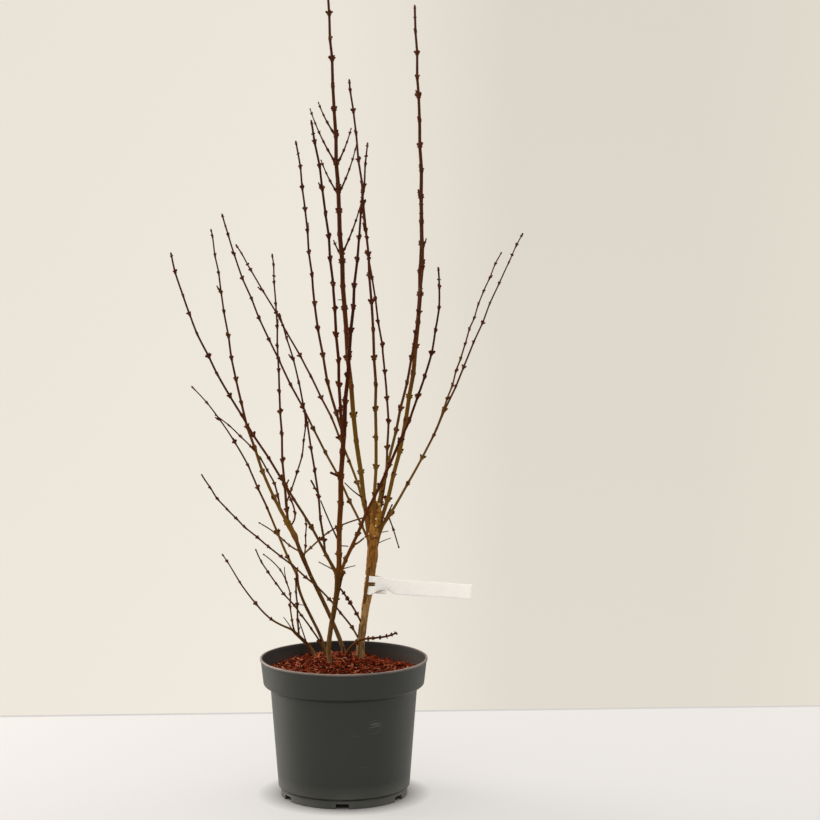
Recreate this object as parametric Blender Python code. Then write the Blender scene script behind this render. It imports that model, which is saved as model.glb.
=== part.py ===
"""Border forsythia in winter: a bare shrub of long whips, planted in a round nursery pot.

Five stems rise from the bark mulch.  They carry long, four-angled whips with buds in
opposite pairs.  Each long whip is a bough up to the share of its length where its twiggy
end begins, and that end is a solid of its own that starts a hair's breadth above it.

Metres, +Z up.  The origin is on the pot's axis, at the middle of its underside, and the
shrub is seen from -Y.
"""

import math
import random
from dataclasses import dataclass

import bmesh
import bpy
from mathutils import Vector

GAP = 0.0003                 # clear space between one solid and the next
SEED = 11
TWIG_SEED = 81

# Pot
RIM_RADIUS = 0.124
POT_HEIGHT = 0.205
RIM_BEAD = 0.0034            # height of the bead round the rim
RIM_LIP = 0.0012             # how far the bead stands out
COLLAR_HEIGHT = 0.039        # the wide band below the rim
COLLAR_TAPER = 0.005
STEP_HEIGHT = 0.006          # slope between the collar and the body
BODY_RADIUS = 0.1085         # just below the collar
BASE_RADIUS = 0.0975
FOOT_RADIUS = 0.0940
FOOT_HEIGHT = 0.013
WALL = 0.002
EASE = 0.001                 # height or width of a softened corner
FLOOR_LIFT = 0.0085          # underside of the raised floor
BOSS_RADIUS = 0.028          # middle of the floor, which stands on the ground
FOOT_WALL = 0.004
POT_SIDES = 48
DRAIN_NOTCHES = 6
NOTCH_WIDTH = 0.020
NOTCH_DEPTH = 0.020          # across the foot's ring
NOTCH_HEIGHT = 0.0078

# Bark mulch, which fills the pot
MULCH_EDGE = 0.184           # height of its surface at the wall
MULCH_RISE = 0.017           # how much higher it is heaped round the stems
MULCH_SPREAD = 0.075
MULCH_HEAP = Vector((-0.010, 0.028))
MULCH_RINGS = 8
MULCH_LUMP = 0.0016
MULCH_INSET = 0.0006         # between the filling and the pot's wall
STEM_SET = 0.006             # how far the stems stand in the mulch

# Wood
BEND_PEAK = 6.75             # makes t (1 - t)^2 reach 1 at its highest, a third of the way
AXIS_STEP = 0.002            # share of the length over which a direction is measured
AXIS_SAMPLES = 24
WHIP_SIDES = 4
STEM_SIDES = 8
SQUARE_SWELL = 1.2           # a square section of the same area as a round one
STEM_TURN = 0.3              # radians from the back to its first corner
STEM_RIDGE = 0.05            # every other corner of a stem stands out by this share
STEM_RING_STEP = 0.022
FLARE_LENGTH = 0.010         # where a stem widens to its foot
FLARE_SHARE = 0.28
COLLAR_LENGTH = 0.008        # where a whip widens to its seat
COLLAR_SHARE = 0.22
NODE_STEP = 0.042            # from one pair of buds to the next, on a long whip
SHORT_NODE_STEP = 0.026
NODE_SCATTER = 0.15          # each step between pairs is longer or shorter by up to this share
NODE_CLOSING = 0.25          # share by which the steps have shortened at the tip
FIRST_NODE = 0.020
NODE_START = 0.4             # the first pair may sit higher by this share of a step
LAST_NODE = 0.012            # no pair sits this near the tip
NODE_CLEAR = 0.002           # or this near a solid's end
BUD_BELOW = 0.0030           # the swelling starts this far below the buds
BUD_ABOVE = 0.0050
BUD_REACH = 0.0022           # how far a bud stands out
SMALL_BUD_REACH = 0.0014
THIN_FOOT = 0.0032           # a shoot with a thinner foot has small buds
KINK = 0.0007                # sideways shift from node to node
KINK_TURN = (2.4, 1.7)       # radians by which that shift turns from node to node, in X and in Y
KINK_PHASE = 1.9             # and from limb to limb
TIP_BUD = 0.0045
TIP_BUD_SWELL = 0.4          # share of a bud's reach by which it is thicker than the whip
TIP_POINT = 0.45             # a whip's very tip, as a share of its thickness
SPUR_CHANCE = 0.16
SPUR_LENGTH = (0.008, 0.015)
SPUR_FOOT = 0.0019
SPUR_FIRST = 0.03            # share of the whip between its twiggy end's foot and the first spur
SPUR_LAST = 0.88
SIDE_TWIG_LEAN = 0.50        # radians between a side twig and its stem
SIDE_TWIG_CURL = 0.55        # share of that lean lost at its tip
SIDE_TWIG_FOOT = 0.0024
SIDE_TWIG_TIP = 0.0011
SIDE_TWIG_STEP = 0.028       # from one bud pair to the next
SIDE_TWIG_BUD = 1.5          # its thickness at a bud pair, as a share
TRIANGLE_SWELL = 1.2         # a triangular section of nearly the same area as a round one
PAIR_TURN = 0.35             # radians by which the tallest whip's pairs may turn

# The gnarled right stem: share of its length and thickness there
HEAD_PROFILE = (
    (0.00, 0.0120), (0.28, 0.0108), (0.40, 0.0134), (0.72, 0.0166),
    (0.80, 0.0205), (0.86, 0.0215), (0.93, 0.0255), (1.00, 0.0190),
)
HEAD_DOME = 0.003            # height of its rounded top
HEAD_CROWN = 0.3             # radius of that top, as a share of the thickness below it

# Tag
TAG_WIDTH = 0.022
TAG_LOOP_WIDTH = 0.028       # round the stem, where it fans out
TAG_THICK = 0.0005
TAG_REACH = 0.151            # from the stem's middle to the tag's free end
TAG_SHARE = 0.478            # where it hangs on the right stem
TAG_LIFT = 1.0               # how far the strip turns back from square to the stem, to level
TAG_TAIL = 0.028             # where the loop's end comes back to the tag
TAG_FAN = 0.045              # distance over which the strip narrows from the loop
TAG_BELLY = 0.0015           # how far the free strip bows
TAG_LOOP_STEPS = 14
TAG_LOOP_TURN = 1.15 * math.pi

# The tallest whip's side twigs: share of the whip, left length, right length
TALLEST_PAIRS = (
    (0.466, 0.026, 0.110),
    (0.571, 0.058, 0.080),
    (0.622, 0.092, 0.059),
    (0.672, 0.056, 0.010),
)


@dataclass
class Limb:
    """A stem, whip or shoot.  It bends by bow a third of the way up and by sway two thirds up."""

    name: str
    carrier: str             # what it grows from, or "" for the mulch
    share: float             # how far along its carrier it grows
    seat: tuple              # from that point on the carrier's axis, or a place in the mulch
    tip: tuple
    bow: tuple
    sway: tuple
    foot: float              # thickness at its foot
    end: float               # thickness at its tip
    wood: str
    enter: float = 1.0       # share where its twiggy end begins
    clear_of: tuple = ()     # other limbs it is cut clear of at its foot


LIMBS = [
    Limb("stem_front", "", 0, (-0.020, -0.005, 0.201), (-0.007, -0.010, 0.335),
         (-0.006, 0, 0), (0.003, 0, 0), 0.0078, 0.0104, "tan"),
    Limb("stem_right", "", 0, (0.023, 0.040, 0.200), (0.046, 0.042, 0.430),
         (-0.001, 0, 0), (0.003, 0, 0), 0.0120, 0.0240, "tan"),
    Limb("stem_back", "", 0, (0.000, 0.060, 0.200), (-0.075, 0.070, 0.375),
         (0.004, 0, 0), (-0.003, 0, 0), 0.0064, 0.0058, "tan"),
    Limb("stem_left", "", 0, (-0.030, 0.065, 0.200), (-0.072, 0.075, 0.315),
         (0.005, 0, 0), (-0.007, 0, 0), 0.0050, 0.0042, "tan"),
    Limb("stem_far_left", "", 0, (-0.045, 0.050, 0.200), (-0.080, 0.060, 0.235),
         (0.005, 0, 0), (0, 0, 0), 0.0055, 0.0045, "tan"),

    Limb("whip_centre", "stem_front", 1, (0, 0, 0), (0.039, -0.130, 0.960),
         (-0.005, -0.010, 0), (-0.002, 0, 0), 0.0104, 0.0020, "maroon", 0.52),
    Limb("whip_tallest", "stem_right", 0.88, (-0.010, -0.002, 0), (-0.027, 0.030, 1.250),
         (-0.011, 0, 0), (0.001, 0, 0), 0.0078, 0.0034, "olive", 0.43),
    Limb("whip_front", "whip_centre", 0.29, (0, 0, 0), (-0.038, -0.170, 0.990),
         (0.004, -0.020, 0), (0.007, 0, 0), 0.0056, 0.0032, "maroon", 0.50),
    Limb("whip_inner_left", "whip_centre", 0.33, (0, 0, 0), (-0.068, 0.005, 0.965),
         (-0.013, 0.015, 0), (0.001, 0, 0), 0.0047, 0.0026, "red_brown", 0.50),
    Limb("whip_mid_front", "stem_right", 0.91, (-0.001, -0.008, 0), (0.012, -0.075, 1.050),
         (0.010, -0.010, 0), (0.007, 0, 0), 0.0060, 0.0028, "olive", 0.50),
    Limb("whip_back", "stem_right", 0.88, (0.004, 0.008, 0), (0.024, 0.170, 0.895),
         (0.023, 0.010, 0), (0.001, 0, 0), 0.0044, 0.0026, "red_brown", 0.50),
    Limb("whip_right_tall", "stem_right", 0.86, (0.008, 0.004, 0), (0.105, 0.135, 1.170),
         (0.030, 0.010, 0), (0.012, 0, 0), 0.0066, 0.0036, "olive", 0.50),
    Limb("whip_right_inner", "stem_right", 0.92, (0.002, 0.001, 0), (0.110, 0.030, 0.895),
         (0.006, -0.005, 0), (0.021, 0, 0), 0.0054, 0.0030, "olive", 0.50),
    Limb("whip_right_front", "stem_front", 0.93, (0, 0, 0), (0.137, -0.160, 0.788),
         (0.003, -0.015, 0), (0.029, 0, 0), 0.0058, 0.0026, "maroon", 0.55,
         ("whip_centre",)),
    Limb("whip_right_wide", "stem_right", 0.83, (0.008, -0.003, 0), (0.266, 0.070, 0.830),
         (0.014, 0.010, 0), (-0.002, 0, 0), 0.0046, 0.0015, "olive", 0.55),
    Limb("whip_right_fork", "whip_right_wide", 0.34, (0, 0, 0), (0.230, -0.040, 0.805),
         (0.001, 0, 0), (-0.006, 0, 0), 0.0030, 0.0015, "olive"),
    Limb("whip_left_wide", "stem_front", 0.93, (0, 0, 0), (-0.241, -0.090, 0.806),
         (-0.007, -0.010, 0.017), (-0.019, 0, -0.009), 0.0044, 0.0026, "red_brown", 0.55,
         ("whip_centre",)),
    Limb("whip_left_back", "stem_back", 1, (0, 0, 0), (-0.203, 0.130, 0.835),
         (-0.023, 0, 0), (-0.006, 0, 0), 0.0056, 0.0020, "olive", 0.50),
    Limb("whip_left_tall", "stem_right", 0.74, (-0.005, 0.003, 0), (-0.173, -0.030, 0.860),
         (0, 0.005, 0), (-0.014, 0, 0), 0.0042, 0.0022, "olive", 0.55),
    Limb("whip_back_left", "stem_right", 0.86, (-0.008, 0.006, 0), (-0.171, 0.200, 0.810),
         (0.014, 0.015, 0), (0.007, 0, 0), 0.0046, 0.0020, "olive", 0.55),
    Limb("whip_back_upright", "whip_left_back", 0.04, (0.0005, -0.0005, 0), (-0.116, 0.220, 0.795),
         (-0.004, 0.015, 0), (0.002, 0, 0), 0.0046, 0.0022, "red_brown", 0.55),
    Limb("whip_front_left", "whip_left_wide", 0.07, (0, 0, 0), (-0.083, -0.180, 0.725),
         (0.004, -0.010, 0), (0.008, 0, 0), 0.0039, 0.0020, "red_brown", 0.55),
    Limb("whip_low_left", "stem_left", 1, (0, 0, 0), (-0.231, 0.090, 0.600),
         (0.001, 0, 0), (0.018, 0, 0), 0.0045, 0.0015, "olive", 0.55),
    Limb("whip_low_back", "whip_left_back", 0.085, (0, 0, 0), (-0.202, 0.160, 0.550),
         (0.012, 0.010, 0), (0.014, 0, 0), 0.0032, 0.0016, "red_brown"),
    Limb("whip_low_front", "stem_right", 0.095, (0, 0, 0), (-0.206, -0.030, 0.482),
         (0.008, 0.005, 0.014), (-0.010, 0, -0.009), 0.0031, 0.0020, "red_brown"),

    Limb("shoot_mid", "whip_back_upright", 0.07, (0, 0, 0), (-0.063, 0.040, 0.590),
         (0.006, 0, 0), (0.010, 0, 0), 0.0026, 0.0020, "red_brown"),
    Limb("shoot_far_left", "stem_far_left", 1, (0, 0, 0), (-0.187, 0.090, 0.345),
         (-0.009, 0, -0.010), (-0.003, 0, 0), 0.0034, 0.0014, "red_brown"),
    Limb("shoot_left_front", "", 0, (-0.027, 0.046, 0.200), (-0.130, 0.000, 0.367),
         (0.005, 0, 0.005), (-0.004, 0, -0.004), 0.0030, 0.0017, "red_brown"),
    Limb("shoot_left_back", "stem_far_left", 0.86, (0, 0, 0), (-0.127, 0.120, 0.340),
         (0, 0, 0), (0.019, 0, 0), 0.0026, 0.0014, "red_brown", 1.0, ("shoot_far_left",)),
    Limb("shoot_left_upright", "stem_far_left", 0.74, (0, 0, 0), (-0.069, 0.030, 0.335),
         (0.000, 0, 0), (-0.003, 0, 0), 0.0032, 0.0022, "red_brown"),
    Limb("shoot_back_side", "stem_back", 0.87, (0, 0, 0), (-0.134, 0.130, 0.387),
         (-0.005, 0, 0), (0.012, 0, -0.005), 0.0027, 0.0016, "red_brown"),
    Limb("shoot_inner_upright", "stem_back", 0.80, (0, 0, 0), (-0.061, 0.020, 0.420),
         (0.001, 0, 0), (0.004, 0, 0), 0.0022, 0.0016, "red_brown"),
    Limb("shoot_inner_right", "stem_back", 0.84, (0, 0, 0), (0.038, 0.075, 0.405),
         (-0.002, 0.005, 0), (-0.019, 0, 0), 0.0031, 0.0019, "olive"),
    Limb("shoot_inner_left", "whip_left_back", 0.03, (0, 0, 0), (-0.082, 0.040, 0.465),
         (0.011, 0, 0), (-0.006, 0, 0), 0.0030, 0.0020, "olive", 1.0,
         ("stem_back", "whip_back_upright")),
    Limb("shoot_hanging", "whip_right_wide", 0.045, (0, 0, 0), (0.082, 0.010, 0.366),
         (0, 0, 0), (0, 0, 0), 0.0022, 0.0015, "red_brown"),
    Limb("shoot_head_right", "stem_right", 0.785, (0.004, -0.006, 0), (0.072, 0.025, 0.430),
         (0.001, 0.002, 0), (0, 0, 0), 0.0026, 0.0018, "olive"),
    Limb("shoot_front_right", "stem_front", 0.97, (0, 0, 0), (0.034, 0.010, 0.385),
         (0.012, 0, 0.024), (-0.010, 0, -0.006), 0.0031, 0.0024, "olive", 1.0,
         ("whip_centre", "whip_right_front")),
    Limb("sprig_low_right", "", 0, (0.000, 0.035, 0.202), (0.079, -0.010, 0.244),
         (-0.004, -0.010, 0.016), (-0.002, 0, -0.002), 0.0038, 0.0028, "maroon"),
    Limb("shoot_stem_right", "stem_right", 0.21, (0, 0, 0), (-0.007, 0.020, 0.306),
         (0, 0, 0.002), (0.003, 0, -0.002), 0.0032, 0.0028, "maroon"),
]
BY_NAME = {limb.name: limb for limb in LIMBS}

# Colours as linear RGB
WOOD_COLOURS = {
    "tan": (0.250, 0.130, 0.048),
    "olive": (0.140, 0.085, 0.018),
    "red_brown": (0.095, 0.028, 0.012),
    "maroon": (0.045, 0.011, 0.008),
}
POT_COLOUR = (0.040, 0.044, 0.041)
MULCH_COLOUR = (0.155, 0.030, 0.012)
TAG_COLOUR = (0.820, 0.810, 0.790)


def material(name, colour, roughness):
    """Plain Principled material, made once for each name."""
    found = bpy.data.materials.get(name)
    if found:
        return found
    made = bpy.data.materials.new(name)
    made.use_nodes = True
    shader = made.node_tree.nodes["Principled BSDF"]
    shader.inputs["Base Color"].default_value = (*colour, 1.0)
    shader.inputs["Roughness"].default_value = roughness
    shader.inputs["Metallic"].default_value = 0.0
    return made


def add_object(name, bm, finish):
    """Make one object of a bmesh, with its faces turned outwards."""
    bmesh.ops.recalc_face_normals(bm, faces=bm.faces)
    mesh = bpy.data.meshes.new(name)
    bm.to_mesh(mesh)
    bm.free()
    mesh.materials.append(finish)
    made = bpy.data.objects.new(name, mesh)
    bpy.context.scene.collection.objects.link(made)
    return made


def loft(rings):
    """Closed skin over rings of equally many points, capped at both ends."""
    bm = bmesh.new()
    loops = [[bm.verts.new(point) for point in ring] for ring in rings]
    sides = len(loops[0])
    for low, high in zip(loops, loops[1:]):
        for k in range(sides):
            n = (k + 1) % sides
            bm.faces.new((low[k], low[n], high[n], high[k]))
    bm.faces.new(loops[0][::-1])
    bm.faces.new(loops[-1])
    return bm


def turned(profile, sides):
    """Solid of revolution: the profile starts and ends on the axis, and runs round the section."""
    bm = bmesh.new()
    rows = []
    for radius, height in profile:
        if radius == 0:
            rows.append([bm.verts.new((0, 0, height))] * sides)
            continue
        turn = [math.tau * (k + 0.5) / sides for k in range(sides)]
        rows.append([bm.verts.new((radius * math.cos(a), radius * math.sin(a), height)) for a in turn])
    for low, high in zip(rows, rows[1:]):
        for k in range(sides):
            n = (k + 1) % sides
            corners = dict.fromkeys((low[k], low[n], high[n], high[k]))
            bm.faces.new(tuple(corners))
    return bm


def cut(target, cutter):
    """Take the cutter's space out of the target with a live modifier."""
    cutter.hide_render = True
    cutter.display_type = "WIRE"
    step = target.modifiers.new("clear_of_" + cutter.name, "BOOLEAN")
    step.operation = "DIFFERENCE"
    step.solver = "EXACT"
    step.object = cutter


def limb_foot(limb):
    """Where a limb's axis starts."""
    if not limb.carrier:
        return Vector(limb.seat) - Vector((0, 0, STEM_SET))
    carrier = BY_NAME[limb.carrier]
    return axis_point(carrier, limb.share) + Vector(limb.seat)


def axis_point(limb, t):
    """Point on the limb's axis: a straight line, plus the bow and the sway."""
    foot = limb_foot(limb)
    tip = Vector(limb.tip)
    bow = Vector(limb.bow) * (BEND_PEAK * t * (1 - t) ** 2)
    sway = Vector(limb.sway) * (BEND_PEAK * t * t * (1 - t))
    return foot + (tip - foot) * t + bow + sway


def axis_direction(limb, t):
    """Unit vector along the limb's axis."""
    ahead, behind = min(t + AXIS_STEP, 1), max(t - AXIS_STEP, 0)
    return (axis_point(limb, ahead) - axis_point(limb, behind)).normalized()


def limb_length(limb):
    """Length of the limb's axis."""
    points = [axis_point(limb, k / AXIS_SAMPLES) for k in range(AXIS_SAMPLES + 1)]
    return sum((b - a).length for a, b in zip(points, points[1:]))


def is_stem(limb):
    """Stems have more sides than whips, and no buds."""
    return limb.name.startswith("stem")


def thickness(limb, t):
    """Thickness of the wood at a share of the limb, with its flare or collar at the foot."""
    distance = t * limb_length(limb)
    if limb.name == "stem_right":
        for (a, low), (b, high) in zip(HEAD_PROFILE, HEAD_PROFILE[1:]):
            if t <= b:
                width = low + (high - low) * (t - a) / (b - a)
                break
    else:
        width = limb.end + (limb.foot - limb.end) * (1 - t)
    if is_stem(limb):
        return width * (1 + FLARE_SHARE * max(0, 1 - distance / (FLARE_LENGTH + STEM_SET)) ** 2)
    if limb.carrier and is_stem(BY_NAME[limb.carrier]):
        return width * (1 + COLLAR_SHARE * max(0, 1 - distance / COLLAR_LENGTH))
    return width


def ring(centre, direction, radii, turn):
    """Points round an axis, one for each radius."""
    across = Vector((0, 1, 0)) - direction * direction.y
    across.normalize()
    other = direction.cross(across)
    points = []
    for k, radius in enumerate(radii):
        angle = turn + math.tau * k / len(radii)
        points.append(centre + (across * math.cos(angle) + other * math.sin(angle)) * radius)
    return points


def node_shares(limb):
    """Shares of the limb's length where its bud pairs sit, closer together towards the tip."""
    length = limb_length(limb)
    rng = random.Random(SEED + LIMBS.index(limb))
    step = NODE_STEP if limb.foot > THIN_FOOT else SHORT_NODE_STEP
    shares = []
    at = FIRST_NODE + rng.uniform(0, NODE_START) * step
    while at < length - LAST_NODE:
        shares.append(at / length)
        scatter = rng.uniform(1 - NODE_SCATTER, 1 + NODE_SCATTER)
        at += step * scatter * (1 - NODE_CLOSING * at / length)
    return shares


def kink(limb, number):
    """Small sideways shift of the axis at a node."""
    phase = LIMBS.index(limb) * KINK_PHASE
    turn_x, turn_y = (number * turn + phase for turn in KINK_TURN)
    return Vector((math.sin(turn_x), math.cos(turn_y), 0)) * KINK


def whip_rings(limb, start, stop, extra):
    """Rings of a whip between two shares: three at each bud pair, and one at each end."""
    length = limb_length(limb)
    reach = BUD_REACH if limb.foot > THIN_FOOT else SMALL_BUD_REACH
    stations = [(start, None, 0)]
    for number, share in enumerate(node_shares(limb)):
        below, above = share - BUD_BELOW / length, share + BUD_ABOVE / length
        if below < start + NODE_CLEAR / length or above > stop - NODE_CLEAR / length:
            continue
        stations += [(below, number, 0), (share, number, reach), (above, number, 0)]
    if stop == 1:
        stations.append((1 - TIP_BUD / length, None, TIP_BUD_SWELL * reach))
    stations.append((stop, None, 0))
    rings = []
    for share, number, push in stations:
        radius = thickness(limb, share) / 2 * SQUARE_SWELL + extra
        if share == 1:
            radius *= TIP_POINT
        radii = [radius] * WHIP_SIDES
        pairs = (number or 0) % 2
        for k in range(WHIP_SIDES):
            if k % 2 == pairs or number is None:
                radii[k] += push
        centre = axis_point(limb, share)
        if number is not None:
            centre += kink(limb, number)
        direction = axis_direction(limb, share)
        if share == start and continues(limb) and start == 0:
            direction = axis_direction(BY_NAME[limb.carrier], 1)
            centre += direction * GAP
        rings.append(ring(centre, direction, radii, math.pi / 4))
    return rings


def stem_rings(limb, extra):
    """Rings of a stem, from its flat foot to its fork."""
    length = limb_length(limb)
    flare = [0, 0.25 * FLARE_LENGTH / length, (FLARE_LENGTH + STEM_SET) / length]
    count = max(2, round(length * (1 - flare[-1]) / STEM_RING_STEP))
    shares = flare + [flare[-1] + (1 - flare[-1]) * (k + 1) / count for k in range(count)]
    rings = []
    for share in shares:
        radius = thickness(limb, share) / 2
        radii = [radius * (1 + STEM_RIDGE * math.cos(math.pi * k)) + extra for k in range(STEM_SIDES)]
        rings.append(ring(axis_point(limb, share), axis_direction(limb, share), radii, STEM_TURN))
    if limb.name == "stem_right":
        upward = axis_direction(limb, 1)
        crown = [thickness(limb, 1) * HEAD_CROWN + extra] * STEM_SIDES
        rings.append(ring(axis_point(limb, 1) + upward * HEAD_DOME, upward, crown, STEM_TURN))
    return rings


def continues(limb):
    """True for a whip that runs on from its stem's very tip."""
    return bool(limb.carrier) and limb.share == 1 and limb.seat == (0, 0, 0)


def limb_rings(limb, extra=0.0):
    """Rings of the limb's solid, up to where its twiggy end begins."""
    if is_stem(limb):
        return stem_rings(limb, extra)
    return whip_rings(limb, 0, limb.enter, extra)


def clearance_solid(limb):
    """The limb's own solid, larger by the gap on every side, to cut its neighbours with."""
    sides = STEM_SIDES if is_stem(limb) else WHIP_SIDES
    rings = limb_rings(limb, GAP / math.cos(math.pi / sides))
    low = axis_direction(limb, 0) * GAP
    high = axis_direction(limb, limb.enter) * GAP
    rings[0] = [point - low for point in rings[0]]
    rings[-1] = [point + high for point in rings[-1]]
    return add_object("space_" + limb.name, loft(rings), material("guide", (1, 1, 1), 0.5))


def side_twig(limb, share, azimuth, length, foot):
    """A three-sided twig that leaves the limb's axis and curves up along it."""
    base = axis_point(limb, share)
    along = axis_direction(limb, share)
    side = Vector((math.cos(azimuth), math.sin(azimuth), 0))
    side = (side - along * side.dot(along)).normalized()
    steps = max(2, round(length / SIDE_TWIG_STEP))
    rings = []
    point = base
    for k in range(steps + 1):
        angle = SIDE_TWIG_LEAN * (1 - SIDE_TWIG_CURL * k / steps)
        heading = along * math.cos(angle) + side * math.sin(angle)
        radius = (foot + (SIDE_TWIG_TIP - foot) * k / steps) / 2 * TRIANGLE_SWELL
        if 0 < k < steps:
            radius *= SIDE_TWIG_BUD
        rings.append(ring(point, heading, [radius] * 3, azimuth))
        point = point + heading * (length / steps)
    return loft(rings)


def twig_plan(limb):
    """Side twigs of a twiggy end: share, direction, length and foot, by a seeded rule."""
    rng = random.Random(TWIG_SEED + LIMBS.index(limb))
    plan = []
    if limb.name == "whip_tallest":
        for share, left, right in TALLEST_PAIRS:
            turn = rng.uniform(-PAIR_TURN, PAIR_TURN)
            plan.append((share, math.pi + turn, left, SIDE_TWIG_FOOT))
            plan.append((share, turn, right, SIDE_TWIG_FOOT))
        return plan
    for share in node_shares(limb):
        chance, azimuth = rng.random(), rng.uniform(0, math.tau)
        length = rng.uniform(*SPUR_LENGTH)
        if chance < SPUR_CHANCE and limb.enter + SPUR_FIRST < share < SPUR_LAST:
            plan.append((share, azimuth, length, SPUR_FOOT))
    return plan


def twig_mass(limb, finish):
    """The whip's twiggy end as one solid: its stem, with the side twigs joined on."""
    length = limb_length(limb)
    rings = whip_rings(limb, limb.enter + GAP / length, 1, 0)
    made = add_object(limb.name.replace("whip", "twigs"), loft(rings), finish)
    plan = twig_plan(limb)
    if not plan:
        return made
    side_twigs = bpy.data.collections.new("side_twigs")
    bpy.context.scene.collection.children.link(side_twigs)
    for share, azimuth, reach, foot in plan:
        twig = add_object("side_twig", side_twig(limb, share, azimuth, reach, foot), finish)
        bpy.context.scene.collection.objects.unlink(twig)
        side_twigs.objects.link(twig)
    join = made.modifiers.new("join", "BOOLEAN")
    join.operation = "UNION"
    join.operand_type = "COLLECTION"
    join.collection = side_twigs
    join.solver = "EXACT"
    bpy.context.view_layer.update()
    seen = made.evaluated_get(bpy.context.evaluated_depsgraph_get())
    joined = bpy.data.meshes.new_from_object(seen)
    made.modifiers.clear()
    made.data = joined
    for twig in list(side_twigs.objects):
        bpy.data.objects.remove(twig)
    bpy.data.collections.remove(side_twigs)
    return made


def pot_inside():
    """Profile of the pot's inner wall, from the edge of the floor up to the rim."""
    collar_low = POT_HEIGHT - COLLAR_HEIGHT
    return [
        (FOOT_RADIUS - WALL, FLOOR_LIFT + WALL),
        (FOOT_RADIUS - WALL, FOOT_HEIGHT + EASE),
        (BASE_RADIUS - WALL, FOOT_HEIGHT + EASE + WALL),
        (BODY_RADIUS - WALL, collar_low - STEP_HEIGHT + WALL),
        (RIM_RADIUS - COLLAR_TAPER - WALL, collar_low + WALL),
        (RIM_RADIUS - RIM_LIP - WALL, POT_HEIGHT),
    ]


def build_pot():
    """Moulded pot: a foot with drainage notches, a raised floor, a body, and a collar with a rim."""
    collar_low = POT_HEIGHT - COLLAR_HEIGHT
    outer = [
        (0, 0), (BOSS_RADIUS, 0), (BOSS_RADIUS + WALL, FLOOR_LIFT),
        (FOOT_RADIUS - FOOT_WALL, FLOOR_LIFT), (FOOT_RADIUS - FOOT_WALL, 0), (FOOT_RADIUS, 0),
        (FOOT_RADIUS, FOOT_HEIGHT), (BASE_RADIUS, FOOT_HEIGHT + EASE),
        (BODY_RADIUS, collar_low - STEP_HEIGHT),
        (RIM_RADIUS - COLLAR_TAPER - 2 * EASE, collar_low - EASE),
        (RIM_RADIUS - COLLAR_TAPER, collar_low + EASE),
        (RIM_RADIUS - RIM_LIP, POT_HEIGHT - RIM_BEAD - EASE),
        (RIM_RADIUS, POT_HEIGHT - RIM_BEAD), (RIM_RADIUS, POT_HEIGHT),
    ]
    floor = [(BOSS_RADIUS + EASE, FLOOR_LIFT + WALL), (BOSS_RADIUS - WALL, WALL), (0, WALL)]
    profile = outer + pot_inside()[::-1] + floor
    pot = add_object("pot", turned(profile, POT_SIDES), material("pot_plastic", POT_COLOUR, 0.55))
    for k in range(DRAIN_NOTCHES):
        angle = -math.pi / 2 + math.tau * k / DRAIN_NOTCHES
        bm = bmesh.new()
        bmesh.ops.create_cube(bm, size=1)
        bmesh.ops.scale(bm, vec=(NOTCH_DEPTH, NOTCH_WIDTH, 2 * NOTCH_HEIGHT), verts=bm.verts)
        notch = add_object(f"space_notch_{k + 1}", bm, material("guide", (1, 1, 1), 0.5))
        notch.location = (FOOT_RADIUS * math.cos(angle), FOOT_RADIUS * math.sin(angle), 0)
        notch.rotation_euler = (0, 0, angle)
        cut(pot, notch)


def mulch_height(x, y):
    """Height of the mulch, heaped round the stems."""
    away = (Vector((x, y)) - MULCH_HEAP).length / MULCH_SPREAD
    return MULCH_EDGE + MULCH_RISE * math.exp(-away * away)


def mulch_side():
    """The pot's inner wall drawn in by the gap, up to the height where the mulch meets it."""
    wall = pot_inside()
    side = [(radius - MULCH_INSET, height + GAP) for radius, height in wall[:-1]]
    (low_radius, low), (high_radius, high) = wall[-2:]
    edge = low_radius + (high_radius - low_radius) * (MULCH_EDGE - low) / (high - low)
    return side + [(edge - MULCH_INSET, MULCH_EDGE)]


def build_mulch():
    """The pot's filling: a plug of its inner shape, with a lumpy, heaped top."""
    rng = random.Random(SEED)
    turns = [math.tau * (k + 0.5) / POT_SIDES for k in range(POT_SIDES)]
    bm = bmesh.new()
    rows = []
    for radius, height in mulch_side():
        rows.append([bm.verts.new((radius * math.cos(a), radius * math.sin(a), height)) for a in turns])
    edge_radius = mulch_side()[-1][0]
    for step in range(1, MULCH_RINGS):
        row = []
        for a in turns:
            radius = edge_radius * (1 - step / MULCH_RINGS)
            x, y = radius * math.cos(a), radius * math.sin(a)
            height = mulch_height(x, y) + rng.uniform(-MULCH_LUMP, MULCH_LUMP)
            row.append(bm.verts.new((x, y, height)))
        rows.append(row)
    for low, high in zip(rows, rows[1:]):
        for k in range(POT_SIDES):
            n = (k + 1) % POT_SIDES
            bm.faces.new((low[k], low[n], high[n], high[k]))
    crest = bm.verts.new((0, 0, mulch_height(0, 0)))
    for k in range(POT_SIDES):
        bm.faces.new((rows[-1][k], rows[-1][(k + 1) % POT_SIDES], crest))
    bm.faces.new(rows[0][::-1])
    bmesh.ops.triangulate(bm, faces=bm.faces)
    return add_object("mulch", bm, material("bark_mulch", MULCH_COLOUR, 0.9))


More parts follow.
